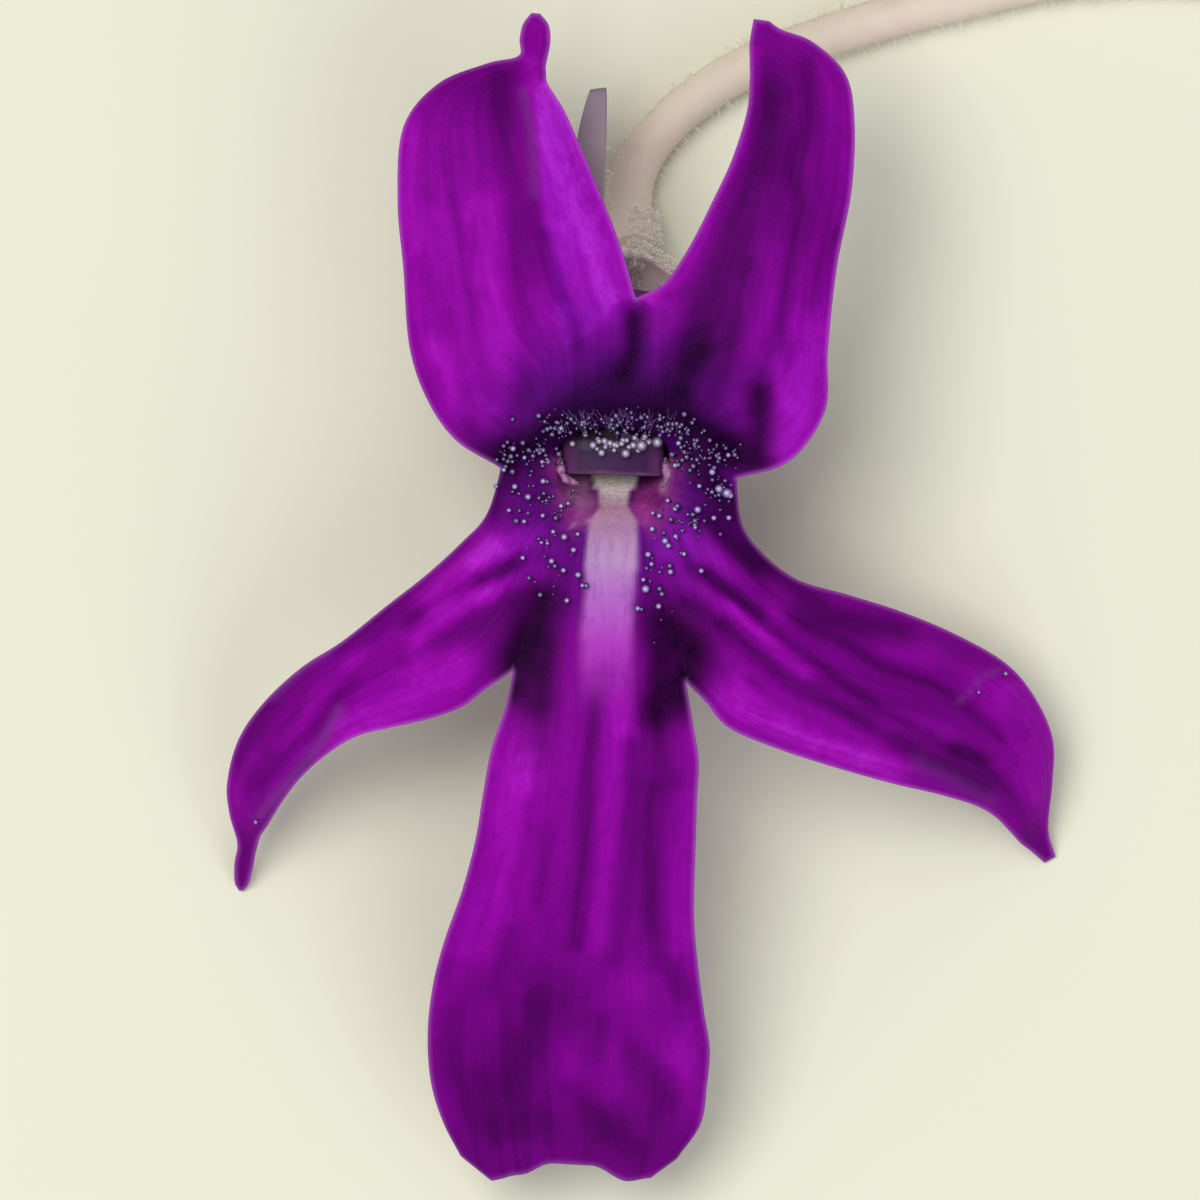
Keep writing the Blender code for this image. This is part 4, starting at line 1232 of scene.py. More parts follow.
# %% Camera
VIEW_MIDDLE = (-0.68, -4.42)
VIEW_WIDTH = 40.8
CAMERA_HEIGHT = 900.0
camera_data = bpy.data.cameras.new("camera")
camera_data.sensor_width = 36.0
camera_data.lens = 36.0 * (CAMERA_HEIGHT - FACE_HEIGHT) / VIEW_WIDTH
camera_data.clip_start = 0.01
camera_data.clip_end = 10.0
camera = bpy.data.objects.new("camera", camera_data)
camera.location = Vector((*VIEW_MIDDLE, CAMERA_HEIGHT)) * MM + Vector((SHIFT.x, SHIFT.y, 0.0))
bpy.context.scene.collection.objects.link(camera)
bpy.context.scene.camera = camera
print("lens:", round(camera_data.lens), "mm")

# %% [markdown]
# ## The stigma, the style and the ovary
#
# A butterwort's stigma is a broad flap that hangs in front of the stamens like a curtain, so that an
# insect has to push under it. It is a curved sheet with a straight lower edge, laid over a grid and
# given a thin wall. The style that carries it and the ovary behind it are hardly seen from the front.
# The style is a tube along a curve, and the ovary is a ball that is pinched a little by its two halves.

# %% The stigma's flap
STIGMA_MIDDLE = -0.24
STIGMA_HALF_WIDTHS = (1.78, 1.8)
STIGMA_LOW = (-0.14, 9.0)
STIGMA_HIGH = (1.6, 8.78)
STIGMA_BOW = 0.25
STIGMA_CORNER = 0.12
STIGMA_SIDE_DIP = 0.3
STIGMA_SLANT = 0.05
STIGMA_RIPPLE = 0.03
STIGMA_RIPPLE_TURNS = 19
STIGMA_WALL = 0.3


def stigma_point(across, up):
    """A point on the front of the flap, from its free lower edge up to the style."""
    half = STIGMA_HALF_WIDTHS[0] + (STIGMA_HALF_WIDTHS[1] - STIGMA_HALF_WIDTHS[0]) * up ** 2
    side = 2 * across - 1
    y, z = mix(STIGMA_LOW, STIGMA_HIGH, up)
    z -= STIGMA_BOW * side ** 2 + STIGMA_SIDE_DIP * side ** 8
    z -= STIGMA_RIPPLE * math.sin(across * STIGMA_RIPPLE_TURNS) * up
    return STIGMA_MIDDLE + half * side, y - STIGMA_CORNER * side * side * up - STIGMA_SLANT * side, z


flap_bm = bmesh.new()
lay_grid(flap_bm, 40, 20, stigma_point, lambda u, v: (u, v, 0.0))
face_up(flap_bm)
flap = thickened(add_object("stigma_flap", to_mesh(flap_bm, "stigma_flap")), STIGMA_WALL)
print("the flap is", round(2 * STIGMA_HALF_WIDTHS[0], 1), "mm wide")

# %% Tubes along a smooth curve


def tube(name, points, radius, sides=12, steps=4):
    """A round tube through these points, each x, y, z and a share of the radius, as a closed mesh."""
    curve = bpy.data.curves.new(name, "CURVE")
    curve.dimensions = "3D"
    curve.bevel_depth = radius * MM
    curve.bevel_resolution = sides // 4 - 1 if sides > 4 else 0
    curve.use_fill_caps = True
    count = steps * (len(points) - 1)
    spline = curve.splines.new("POLY")
    spline.points.add(count)
    for k, made in enumerate(spline.points):
        px, py, pz, share = through(points, k / steps)
        made.co = (*(Vector((px, py, pz)) * MM + SHIFT), 1.0)
        made.radius = share
    obj = applied(add_object(name, curve))
    bm = bmesh.new()
    bm.from_mesh(obj.data)
    bmesh.ops.remove_doubles(bm, verts=bm.verts, dist=0.0005 * MM)
    bmesh.ops.recalc_face_normals(bm, faces=bm.faces)
    bm.to_mesh(obj.data)
    bm.free()
    obj.data.shade_smooth()
    return obj


print("tubes can be bent now")

# %% Style and ovary
STYLE = [
    (0.35, 4.1, 5.0, 1), (0.32, 3.2, 6.2, 1), (0.28, 2.1, 7.3, 1), (0.25, 1.25, 8.2, 1),
    (0.15, 0.9, 8.7, 0.9),
]
STYLE_RADIUS = 0.43
OVARY = (0.35, 4.35, 4.15)
OVARY_RADIUS = 1.15
OVARY_PINCH = (0.06, 0.3)
OVARY_GROOVE = (0.08, 0.25)


def pinched(across, depth, reach):
    """How much of its size a form keeps near its middle, where it is drawn in by this depth."""
    return 1 - depth * math.exp(-((across / (reach * MM)) ** 2))


style = tube("style", STYLE, STYLE_RADIUS, 16)
ovary_bm = bmesh.new()
bmesh.ops.create_uvsphere(ovary_bm, u_segments=32, v_segments=20, radius=OVARY_RADIUS * MM)
for vert in ovary_bm.verts:
    vert.co.x *= pinched(vert.co.x, *OVARY_PINCH)
    vert.co.z *= pinched(vert.co.x, *OVARY_GROOVE)
bmesh.ops.translate(ovary_bm, vec=Vector(OVARY) * MM + SHIFT, verts=ovary_bm.verts)
ovary = add_object("ovary", to_mesh(ovary_bm, "ovary"))
ovary.data.shade_smooth()
print("points of the style and the ovary:", len(style.data.vertices), "and", len(ovary.data.vertices))

# %% [markdown]
# ## The stamens
#
# Two curved filaments rise from below the ovary, and each ends in an anther under the flap. An anther is
# two plump pollen sacs side by side with a slit between them, so a ball is drawn in along its middle.

# %% Filaments and anthers
STAMEN_MIDDLE = 0.32
FILAMENT = [(0.6, 3.1, 2.45), (0.75, 3.0, 3.4), (0.8, 2.9, 4.6), (0.85, 2.3, 5.9), (0.9, 1.3, 7.1)]
ANTHER = (0.9, 1.2, 7.2)
ANTHER_SIZE = (0.42, 0.4, 0.6)
ANTHER_SLIT = (0.35, 0.22)
FILAMENT_RADIUS = 0.19


def anther(name, side):
    bm = bmesh.new()
    bmesh.ops.create_uvsphere(bm, u_segments=28, v_segments=18, radius=MM)
    for vert in bm.verts:
        vert.co.y *= pinched(vert.co.x, *ANTHER_SLIT)
    bmesh.ops.scale(bm, vec=ANTHER_SIZE, verts=bm.verts)
    px, py, pz = ANTHER
    bmesh.ops.translate(bm, vec=Vector((STAMEN_MIDDLE + side * px, py, pz)) * MM + SHIFT, verts=bm.verts)
    obj = add_object(name, to_mesh(bm, name))
    obj.data.shade_smooth()
    return obj


stamens = []
for word, side in (("left", -1), ("right", 1)):
    line = [(STAMEN_MIDDLE + side * px, py, pz, 1.0) for px, py, pz in FILAMENT]
    filament = tube("filament_" + word, line, FILAMENT_RADIUS, 12)
    sacs = anther("anther_" + word, side)
    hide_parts("stamen_" + word)
    stamens += [filament, sacs]
print("stamen pieces:", len(stamens))

# %% [markdown]
# ## Pale folds at the sides of the mouth
#
# Left and right of the flap, the corner of the mouth turns over in a pale, fleshy fold. Each one is a
# tapered tube that lies in the corner and runs on under the lower edge of the flap. Its points are then
# pushed in and out a little, so that it looks wrinkled and soft and not like a bent pipe.

# %% Folds beside the flap
MOUTH_FOLD_RADIUS = 0.15
WRINKLE = 0.035
MOUTH_FOLDS = {
    "mouth_fold_left": [
        (-2.06, 0.5, 8.7, 0.3), (-2.05, 0.26, 8.84, 0.8), (-2.02, 0.04, 8.88, 1.05),
        (-1.96, -0.16, 8.86, 0.8), (-1.84, -0.3, 8.83, 1.05), (-1.68, -0.38, 8.78, 0.75),
        (-1.52, -0.44, 8.7, 0.55), (-1.4, -0.52, 8.62, 0.25),
    ],
    "mouth_fold_right": [
        (1.56, 0.42, 8.7, 0.3), (1.58, 0.2, 8.82, 0.85), (1.61, -0.02, 8.88, 1.1),
        (1.59, -0.22, 8.82, 0.8), (1.53, -0.42, 8.74, 0.55), (1.44, -0.6, 8.66, 0.25),
    ],
}
folds = [tube(name, points, MOUTH_FOLD_RADIUS, 16, 6) for name, points in MOUTH_FOLDS.items()]
for fold in folds:
    push(fold.data, [WRINKLE * math.sin(23 * k) * math.sin(0.9 * k) for k in range(len(fold.data.vertices))])
print("folds:", [fold.name for fold in folds])

# %% [markdown]
# ## The calyx
#
# Five sepals share a shallow cup behind the flower. Each could be a leaf of its own, but they are grown
# together, so one formula gives a point of any of them from its turn about the pole, its length, its half
# width and its lean, and the grids meet in the cup as the lobes do at the face. The sepals don't stand
# evenly. The top one shows between the upper lobes, so it has a narrower neck and a slight bend as well.

# %% A sepal as a surface
CALYX_POLE = (0.42, 6.9, 2.64)
CALYX_FACES = Vector((0.0, -0.8, 0.6))
CALYX_UP = Vector((0.0, 0.6, 0.8))
CALYX_SIDE = Vector((-1.0, 0.0, 0.0))
CALYX_CUP = 0.95
CALYX_CUP_SHARE = 1 / 3
CALYX_LEAN = 32
SEPALS = [
    (12, 8.1, 0.6, -60), (82, 4.6, 0.8, 50), (152, 4.2, 0.8, 14), (218, 4.2, 0.8, 14), (266, 4.6, 0.6, 50),
]
TOP_SEPAL = SEPALS[0]
TOP_BEND = 22
TOP_NECK = 0.5
SEPAL_TAPER = 0.55
SEPAL_TAPER_POWER = 5
SEPAL_WEB = 8
SEPAL_WALL = 0.45
SEPAL_EDGE = 0.5
SEPAL_EDGE_FADE = 0.4
SEPAL_COLUMNS = 18
SEPAL_ROWS = 60


@lru_cache(maxsize=None)
def sepal_reach(lean, length, out, steps=24):
    """How far from the axis and how far forward a sepal has come after this much of its length."""
    radius = height = 0.0
    for k in range(steps):
        spot = out * (k + 0.5) / steps
        angle = CALYX_LEAN * min(spot / CALYX_CUP, 1.0)
        if spot > CALYX_CUP:
            angle += (lean - CALYX_LEAN) * smoothstep((spot - CALYX_CUP) / (0.5 * (length - CALYX_CUP)))
        radius += math.cos(math.radians(angle)) * out / steps
        height += math.sin(math.radians(angle)) * out / steps
    return radius, height


def sepal_point(sepal, along, across):
    """A point on the inner face: a shallow cup at the pole, then the sepal's own blade."""
    turn, length, half_width, lean = sepal
    if along < CALYX_CUP_SHARE:
        out = CALYX_CUP * along / CALYX_CUP_SHARE
    else:
        out = CALYX_CUP + (length - CALYX_CUP) * (along - CALYX_CUP_SHARE) / (1 - CALYX_CUP_SHARE)
    radius, height = sepal_reach(lean, length, out)
    turns = [other[0] for other in SEPALS]
    index = turns.index(turn)
    low = (turns[index - 1] - turn) % 360 / 2 - 180
    high = (turns[(index + 1) % len(turns)] - turn) % 360 / 2
    spread = low + (high - low) * across
    if out > CALYX_CUP:
        share = (out - CALYX_CUP) / (length - CALYX_CUP)
        blade = half_width * (1 - share ** SEPAL_TAPER_POWER * SEPAL_TAPER)
        if sepal == TOP_SEPAL:
            blade *= 1 - TOP_NECK * (1 - smoothstep(share * 1.5))
        narrow = math.degrees(math.atan2(blade, radius)) * (2 * across - 1)
        if sepal == TOP_SEPAL:
            narrow += TOP_BEND * (1 - share)
        spread += (narrow - spread) * smoothstep(share * SEPAL_WEB)
    angle = math.radians(turn + spread)
    place = Vector(CALYX_POLE) + radius * (math.cos(angle) * CALYX_UP + math.sin(angle) * CALYX_SIDE)
    return tuple(place + height * CALYX_FACES)


print("tip of the top sepal:", [round(v, 2) for v in sepal_point(TOP_SEPAL, 1.0, 0.5)])

# %% The calyx as one piece
calyx_bm = bmesh.new()
for sepal in SEPALS:
    lay_grid(
        calyx_bm, SEPAL_COLUMNS, SEPAL_ROWS,
        lambda u, v, sepal=sepal: sepal_point(sepal, v, u),
        lambda u, v, sepal=sepal: (u, v, sepal[0] / 100),
    )
bmesh.ops.remove_doubles(calyx_bm, verts=calyx_bm.verts, dist=WELD * MM)
bmesh.ops.recalc_face_normals(calyx_bm, faces=calyx_bm.faces)
pole_spot = Vector(CALYX_POLE) * MM + SHIFT
pole = min(calyx_bm.faces, key=lambda face: (face.calc_center_median() - pole_spot).length)
if pole.normal.dot(CALYX_FACES) < 0:
    bmesh.ops.reverse_faces(calyx_bm, faces=calyx_bm.faces)
calyx = add_object("calyx_sepals", to_mesh(calyx_bm, "calyx_sepals"))
from_edge = np.clip(distance_to_edge(calyx.data) / SEPAL_EDGE_FADE, 0, 1)
calyx = thickened(calyx, SEPAL_WALL, SEPAL_EDGE + (1 - SEPAL_EDGE) * from_edge)
calyx.data.shade_smooth()
print("calyx:", len(calyx.data.vertices), "points")

# %% [markdown]
# ## The stalk
#
# The stalk leaves the calyx, bends down to the surface and runs on to where it was cut. It could be a
# string of cylinders, but they would kink at each joint. A bevelled curve with twenty-four sides bends
# smoothly, and its radius may change along the way. It is a little thicker where it meets the calyx.

# %% The stalk's line
STALK_RADIUS = 0.75
STALK_LOW = 0.693
STALK = [
    (0.4, 7.58, 2.13, 1.15),
    (0.35, 7.9, 1.89, 1.12),
    (0.3, 8.4, 1.5, 1.1),
    (0.28, 9.05, 1.1, 1.1),
    (0.34, 9.8, 0.86, 1.1),
    (0.62, 10.6, 0.76, 1.06),
    (1.25, 11.5, STALK_LOW, 1.0),
    (2.3, 12.55, STALK_LOW, 1.0),
    (4.3, 13.85, STALK_LOW, 1.0),
    (7.6, 15.1, STALK_LOW, 1.0),
    (11.4, 16.15, STALK_LOW, 1.0),
    (15.6, 17.0, STALK_LOW, 1.0),
    (20.4, 17.0, STALK_LOW, 1.0),
    (25.2, 15.6, STALK_LOW, 1.0),
    (29.4, 12.9, STALK_LOW, 1.0),
    (32.9, 9.2, STALK_LOW, 1.0),
    (35.6, 4.8, STALK_LOW, 1.0),
]
stalk = tube("flower_stalk", STALK, STALK_RADIUS, 24, 10)
print("stalk:", len(stalk.data.vertices), "points; held by", round(kept_in_box(stalk), 3), "mm")

# %% [markdown]
# ## The cut end
#
# Where the stalk was picked, the green pith shows inside a paler rim. A separate disc would do, but it
# would have an edge where the real cut has none. The curve closes its end with a fan of small faces, so
# these are dissolved into one. Two insets then draw the rim and sink the pith, and an attribute marks the
# pith for the finish.

# %% The cut end of the stalk
CUT_RIM = 0.12
CUT_DEPTH = 0.06
cut_middle, before_cut = (Vector(point[:3]) * MM + SHIFT for point in (STALK[-1], STALK[-2]))
cut_axis = (cut_middle - before_cut).normalized()
stalk_bm = bmesh.new()
stalk_bm.from_mesh(stalk.data)
pith_layer = stalk_bm.verts.layers.float.new("pith")
caps = [
    face for face in stalk_bm.faces
    if (face.calc_center_median() - cut_middle).length < STALK_RADIUS * MM and face.normal.dot(cut_axis) > 0.9
]
cut = bmesh.ops.dissolve_faces(stalk_bm, faces=caps)["region"]
bmesh.ops.inset_region(stalk_bm, faces=cut, thickness=CUT_RIM * MM)
bmesh.ops.inset_region(stalk_bm, faces=cut, thickness=CUT_RIM * MM, depth=-CUT_DEPTH * MM)
for vert in {vert for face in cut for vert in face.verts}:
    vert[pith_layer] = 1.0
middle = bmesh.ops.poke(stalk_bm, faces=cut)["verts"]
for vert in middle:
    vert[pith_layer] = 1.0
stalk_bm.to_mesh(stalk.data)
stalk_bm.free()
print("cut ends:", len(cut))

# %% [markdown]
# ## Gland heads and hairs
#
# Butterworts are sticky all over. Round the throat stand short hairs with a clear drop on each tip, and
# finer ones cover the sepals and the stalk. Hair curves could grow them, but the flower has to be plain
# meshes in the end. So each hair is a cone with a small ball on it, both made by an operator of bmesh. An
# operator visits everything in its mesh, so a thousand of them on one growing mesh take minutes. The hairs
# therefore grow in small batches, which are then joined into the whole mesh. The seed is fixed, so every
# run grows the same hairs.

# %% One hair after another into one mesh
BATCH = 30


class HairBed:
    """Collects the stems and the heads of hairs, and lets them grow in small batches."""

    def __init__(self):
        self.now = {"stems": bmesh.new(), "heads": bmesh.new()}
        self.whole = {"stems": bmesh.new(), "heads": bmesh.new()}
        self.count = 0

    def gather(self):
        for kind, bm in self.now.items():
            batch = to_mesh(bm, "batch")
            self.whole[kind].from_mesh(batch)
            bpy.data.meshes.remove(batch)
            self.now[kind] = bmesh.new()

    def stem(self, root, tip, radius, sides=5):
        axis = tip - root
        turn = axis.to_track_quat("Z", "Y").to_matrix().to_4x4()
        turn.translation = (root + tip) / 2
        bmesh.ops.create_cone(
            self.now["stems"], cap_ends=True, cap_tris=False, segments=sides,
            radius1=radius, radius2=radius * 0.55, depth=axis.length, matrix=turn,
        )

    def head(self, middle, radius, segments=8, rings=6):
        bm = self.now["heads"]
        made = bmesh.ops.create_uvsphere(bm, u_segments=segments, v_segments=rings, radius=radius)
        bmesh.ops.translate(bm, vec=middle, verts=made["verts"])
        self.count += 1
        if self.count % BATCH == 0:
            self.gather()

    def finished(self, name):
        self.gather()
        return [add_object(name + "_" + kind, to_mesh(bm, name)) for kind, bm in self.whole.items()]


print("hairs grow in batches of", BATCH)

# %% Where a hair may stand
ABOVE_ALL = 20.0
LOW, HIGH = (Vector(corner) for corner in cad_box)


def fits(spot, reach):
    """Whether a drop of this size at this spot stays inside the CAD box."""
    return all(LOW[k] + reach <= spot[k] <= HIGH[k] - reach for k in range(3))


def surface_under(obj):
    """A function that gives the point and the normal of the object under a place, seen from above."""
    tree = BVHTree.FromObject(obj, bpy.context.evaluated_depsgraph_get())
    return lambda px, py: tree.ray_cast(Vector((px, py, ABOVE_ALL)) * MM + SHIFT, Vector((0, 0, -1)))[:2]


on_skin = surface_under(corolla)
print("the face at the middle of the lower lip:", round(on_skin(0.0, -3.0)[0].z / MM, 2), "mm up")

# %% Drops that were read off one by one
DROPS = [
    (-3.52, 0.72, 0.12), (-3.26, 0.43, 0.09), (-3.91, -0.03, 0.1), (-4.08, -0.58, 0.09),
    (-3.52, -0.61, 0.12), (-3.11, -0.89, 0.13), (-2.65, -0.42, 0.12), (-2.55, 0.36, 0.11),
    (-2.74, 0.23, 0.09), (-3.28, -1.78, 0.1), (-3.7, -1.33, 0.09), (-2.29, -2.04, 0.1),
    (-1.86, -2.24, 0.14), (-2.42, -2.47, 0.08), (-2.65, -1.62, 0.1), (-2.06, -1.3, 0.11),
    (-1.83, -1.26, 0.09), (-3.31, -2.92, 0.1), (-2.38, -3.15, 0.12), (-1.96, -3.43, 0.11),
    (-1.4, -3.53, 0.13), (-1.25, -3.87, 0.09), (-1.82, -4.42, 0.11), (-2.74, -2.44, 0.08),
    (-1.64, -2.76, 0.12), (-1.38, -2.14, 0.09), (0.9, -2.86, 0.13), (1.0, -3.18, 0.1), (0.84, -3.74, 0.1),
    (0.82, -4.01, 0.17), (0.64, -4.68, 0.11), (1.23, -4.65, 0.12), (1.19, -1.52, 0.09),
    (1.42, -1.58, 0.11), (1.06, -2.01, 0.12), (1.52, -2.4, 0.14), (1.68, -2.6, 0.12), (1.94, -2.27, 0.1),
    (2.24, -2.83, 0.1), (1.78, -3.41, 0.12), (2.69, -3.43, 0.11), (2.66, -1.39, 0.15),
    (2.59, -1.95, 0.09), (3.11, -1.65, 0.11), (3.7, -1.69, 0.11), (3.11, -0.03, 0.14), (2.69, -0.52, 0.1),
    (3.63, -0.74, 0.2), (3.34, -0.65, 0.17), (3.8, -0.91, 0.13), (2.01, 0.17, 0.11), (3.57, 0.53, 0.1),
    (1.88, -1.39, 0.11), (1.75, -1.07, 0.1), (-2.09, 1.44, 0.11), (-1.99, 0.87, 0.12), (2.07, 0.98, 0.11),
    (-12.38, -11.93, 0.08), (13.09, -7.07, 0.08), (12.1, -7.6, 0.06),
]
DROP_RISE = 0.22
DROP_SHARE = 0.95
ROOT_DEPTH = 0.02
LOWEST_ROOT = 7.4
HOLLOW_SIDE = 4
dice = random.Random(11)


def rooted(bed, px, py, size, rise, lean, detail=(8, 6), thickness=0.3):
    """One hair on the corolla's front under this place, with a head of this size, all in mm."""
    root, normal = on_skin(px, py)
    if root is None or root.z < LOWEST_ROOT * MM and abs(px) < HOLLOW_SIDE:
        return
    tilt = Vector((dice.uniform(-lean, lean), dice.uniform(-lean, lean), 0.0))
    head = root + (normal + tilt).normalized() * rise * MM
    head.z = min(head.z, HIGH.z - 1.02 * size * MM)
    bed.stem(root - normal * ROOT_DEPTH * MM, head, thickness * size * MM)
    bed.head(head, size * MM, *detail)


drop_bed = HairBed()
for px, py, size in DROPS:
    rooted(drop_bed, px, py, size * DROP_SHARE, DROP_RISE, 0.3, (10, 6))
drop_stems, drops = drop_bed.finished("throat_drop")
print("drops:", drop_bed.count)

# %% [markdown]
# The larger drops were read off one by one. The many small ones between them would be a long list, so they
# are sown in clusters instead. Each cluster is its middle, its width and height, and a number of hairs.

# %% Drops sown in clusters
throat_hairs = HairBed()
CLUSTERS = [
    (-3.0, 0.5, 1.0, 0.6, 60), (-2.9, -1.2, 0.9, 0.7, 26), (-2.2, -3.4, 0.8, 1.0, 16),
    (2.9, 0.5, 1.0, 0.6, 60), (3.3, -0.7, 0.55, 0.4, 26), (2.3, -1.9, 0.9, 0.7, 30),
    (1.3, -3.9, 0.6, 1.0, 14), (-0.1, 1.75, 1.9, 0.25, 30), (-2.3, 1.5, 0.6, 0.35, 34),
    (2.0, 1.4, 0.6, 0.35, 34), (2.2, 0.6, 0.3, 0.5, 16),
]
for cx, cy, wide, tall, number in CLUSTERS:
    for _ in range(number):
        size = 0.03 + 0.09 * dice.random() ** 1.6
        spot = dice.gauss(cx, wide * 0.6), dice.gauss(cy, tall * 0.6)
        rooted(throat_hairs, *spot, size, dice.uniform(0.12, 0.3), 0.6)
print("drops after the clusters:", throat_hairs.count)

# %% Short hairs that lean over the mouth
LIP_HAIRS = 90
LIP_HAIR_RADIUS = 0.028
LOWEST_LIP = 8.6
for _ in range(LIP_HAIRS):
    px = dice.uniform(-2.2, 2.0)
    root, normal = on_skin(px, dice.uniform(1.5, 2.1))
    if root is None or root.z < LOWEST_LIP * MM:
        continue
    reach = dice.uniform(0.15, 0.5)
    size = 0.03 + 0.07 * dice.random() ** 2
    head = root + Vector((-0.1 * px + dice.uniform(-0.3, 0.3), -reach, -0.12 * reach)) * MM
    head.z = min(head.z, HIGH.z - size * MM)
    throat_hairs.stem(root, head, LIP_HAIR_RADIUS * MM, 4)
    throat_hairs.head(head, size * MM)
throat_stems, throat_heads = throat_hairs.finished("throat_hair")
print("all drops of the throat:", throat_hairs.count)

# %% [markdown]
# ## The pearls of the flap
#
# A row of the largest drops lies along the top of the flap like a string of pearls. Some real ones run
# together where they touch, and one skin over all of them would show that. Here each stays a ball of its
# own, which is simpler and keeps every highlight. It is sunk a little into the flap, and smaller ones are
# sown between them.

# %% The pearls along the top of the flap
PEARLS = [
    (-0.92, 0.85, 0.16), (-0.63, 0.59, 0.15), (-0.34, 0.92, 0.14), (-0.11, 0.84, 0.12),
    (0.19, 0.57, 0.18), (0.45, 0.85, 0.15), (0.5, 1.1, 0.13), (0.73, 0.84, 0.22), (0.84, 1.14, 0.13),
    (1.0, 0.98, 0.11), (1.27, 0.95, 0.21), (-1.6, 1.5, 0.12), (-1.62, 0.9, 0.13), (-1.18, 1.21, 0.11),
    (-0.75, 1.05, 0.11), (0.1, 1.02, 0.12), (-0.5, 0.78, 0.1), (-1.95, 1.45, 0.11), (-0.2, 0.68, 0.1),
    (0.62, 0.68, 0.12), (0.3, 0.78, 0.11), (-0.78, 0.72, 0.1),
]
PEARL_SHARE = 1.02
PEARL_RISE = 0.8
PEARL_ROOT = 0.1
SMALL_PEARLS = 20
FLAP_HEIGHT = 9.0
on_flap = surface_under(flap)
pearl_bed = HairBed()
small = [
    (dice.uniform(-0.8, 1.0), dice.gauss(0.94, 0.08), dice.uniform(0.08, 0.14))
    for _ in range(SMALL_PEARLS)
]
for px, py, size in PEARLS + small:
    spot, _ = on_flap(px, py)
    if spot is None:
        spot = Vector((px, py, FLAP_HEIGHT)) * MM + SHIFT
    head = spot + Vector((0, 0, size * PEARL_RISE * MM))
    pearl_bed.stem(spot - Vector((0, 0, PEARL_ROOT * MM)), head, 0.3 * size * MM)
    pearl_bed.head(head, size * PEARL_SHARE * MM, 12, 8)
pearl_stems, pearls = pearl_bed.finished("flap_pearl")
print("pearls:", pearl_bed.count)

# %% [markdown]
# ## Fine hairs and wool
#
# Fine hairs stand along the stalk and behind the sepals. Where the two meet they stand so close that they
# look like white wool. Hairs that are set by hand look combed. These are drawn at random over the faces,
# with larger faces drawn more often, and a test on the spot and its normal says which hairs stay. The wool
# is the same draw again with far more hairs and larger heads, kept to one small zone beside the stalk.

# %% Hairs sown over a piece
FINE_RADIUS = 0.012


def sown_on(bed, obj, number, length, size, keep):
    """Hairs at random spots of the object, where keep says yes to the spot and its normal."""
    mesh = obj.data
    areas = [polygon.area for polygon in mesh.polygons]
    for index in dice.choices(range(len(areas)), weights=areas, k=number):
        polygon = mesh.polygons[index]
        corners = [mesh.vertices[k].co for k in polygon.vertices]
        first_side = corners[0].lerp(corners[1], dice.random())
        root = first_side.lerp(corners[2].lerp(corners[-1], dice.random()), dice.random())
        normal = polygon.normal
        reach = dice.uniform(*length) * MM
        lean = Vector((dice.uniform(-0.5, 0.5), dice.uniform(-0.5, 0.5), dice.uniform(-0.3, 0.3)))
        head = root + (normal + lean).normalized() * reach
        ball = dice.uniform(*size) * MM
        if keep(root, normal) and fits(head, 1.1 * ball):
            bed.stem(root - normal * ROOT_DEPTH * MM, head, FINE_RADIUS * MM, 4)
            bed.head(head, ball, 6, 4)


print("faces of the stalk and the calyx:", len(stalk.data.polygons), "and", len(calyx.data.polygons))

# %% The hairs of the stalk and the calyx, and their wool
WOOL_ZONE = ((0.3, 1.8), (5.6, 9.0))
FINE_HEADS = (0.014, 0.024)
WOOL_LENGTH = (0.12, 0.32)
WOOL_HEADS = (0.026, 0.045)
STALK_HAIRS = 1400
SEPAL_HAIRS = 700
STALK_WOOL = 12000
SEPAL_WOOL = 9000


def at_side(root, normal):
    """The sides of the stalk, where its hairs show against the floor."""
    return abs(normal.z) < 0.7


def behind(root, normal):
    """The outside of the calyx."""
    return normal.dot(CALYX_FACES) < 0.2


def in_wool(root, normal):
    """The small zone where stalk and calyx meet, on the side that shows between the upper lobes."""
    px, py, _ = (root - SHIFT) / MM
    (left, right), (low, high) = WOOL_ZONE
    return left < px < right and low < py < high and normal.x > -0.2 and normal.z > -0.6


stalk_hairs = HairBed()
sown_on(stalk_hairs, stalk, STALK_HAIRS, (0.2, 0.45), FINE_HEADS, at_side)
sown_on(stalk_hairs, calyx, SEPAL_HAIRS, (0.12, 0.3), FINE_HEADS, behind)
sown_on(stalk_hairs, stalk, STALK_WOOL, WOOL_LENGTH, WOOL_HEADS, in_wool)
sown_on(stalk_hairs, calyx, SEPAL_WOOL, WOOL_LENGTH, WOOL_HEADS, in_wool)
fine_stems, fine_heads = stalk_hairs.finished("fine_hair")
print("fine hairs:", stalk_hairs.count)

# %% [markdown]
# ## The other finishes
#
# The flap is a smoky mauve that darkens towards the style with painted shade, where it runs in under the
# upper lip, with a redder blush at its sides and a dewy line under the pearls. Its note says how far
# across and how far up a point lies.

# %% The finish of the flap
SIDE_BLUSH = 0.4
DEW_LINE = 0.56
stigma_finish = Finish("stigma_finish", Specular_IOR_Level=0.08)
across_flap, up, _ = stigma_finish.parts(stigma_finish.note())
silk = stigma_finish.noise(stigma_finish.place(), 1500.0, 3.0, 0.6)
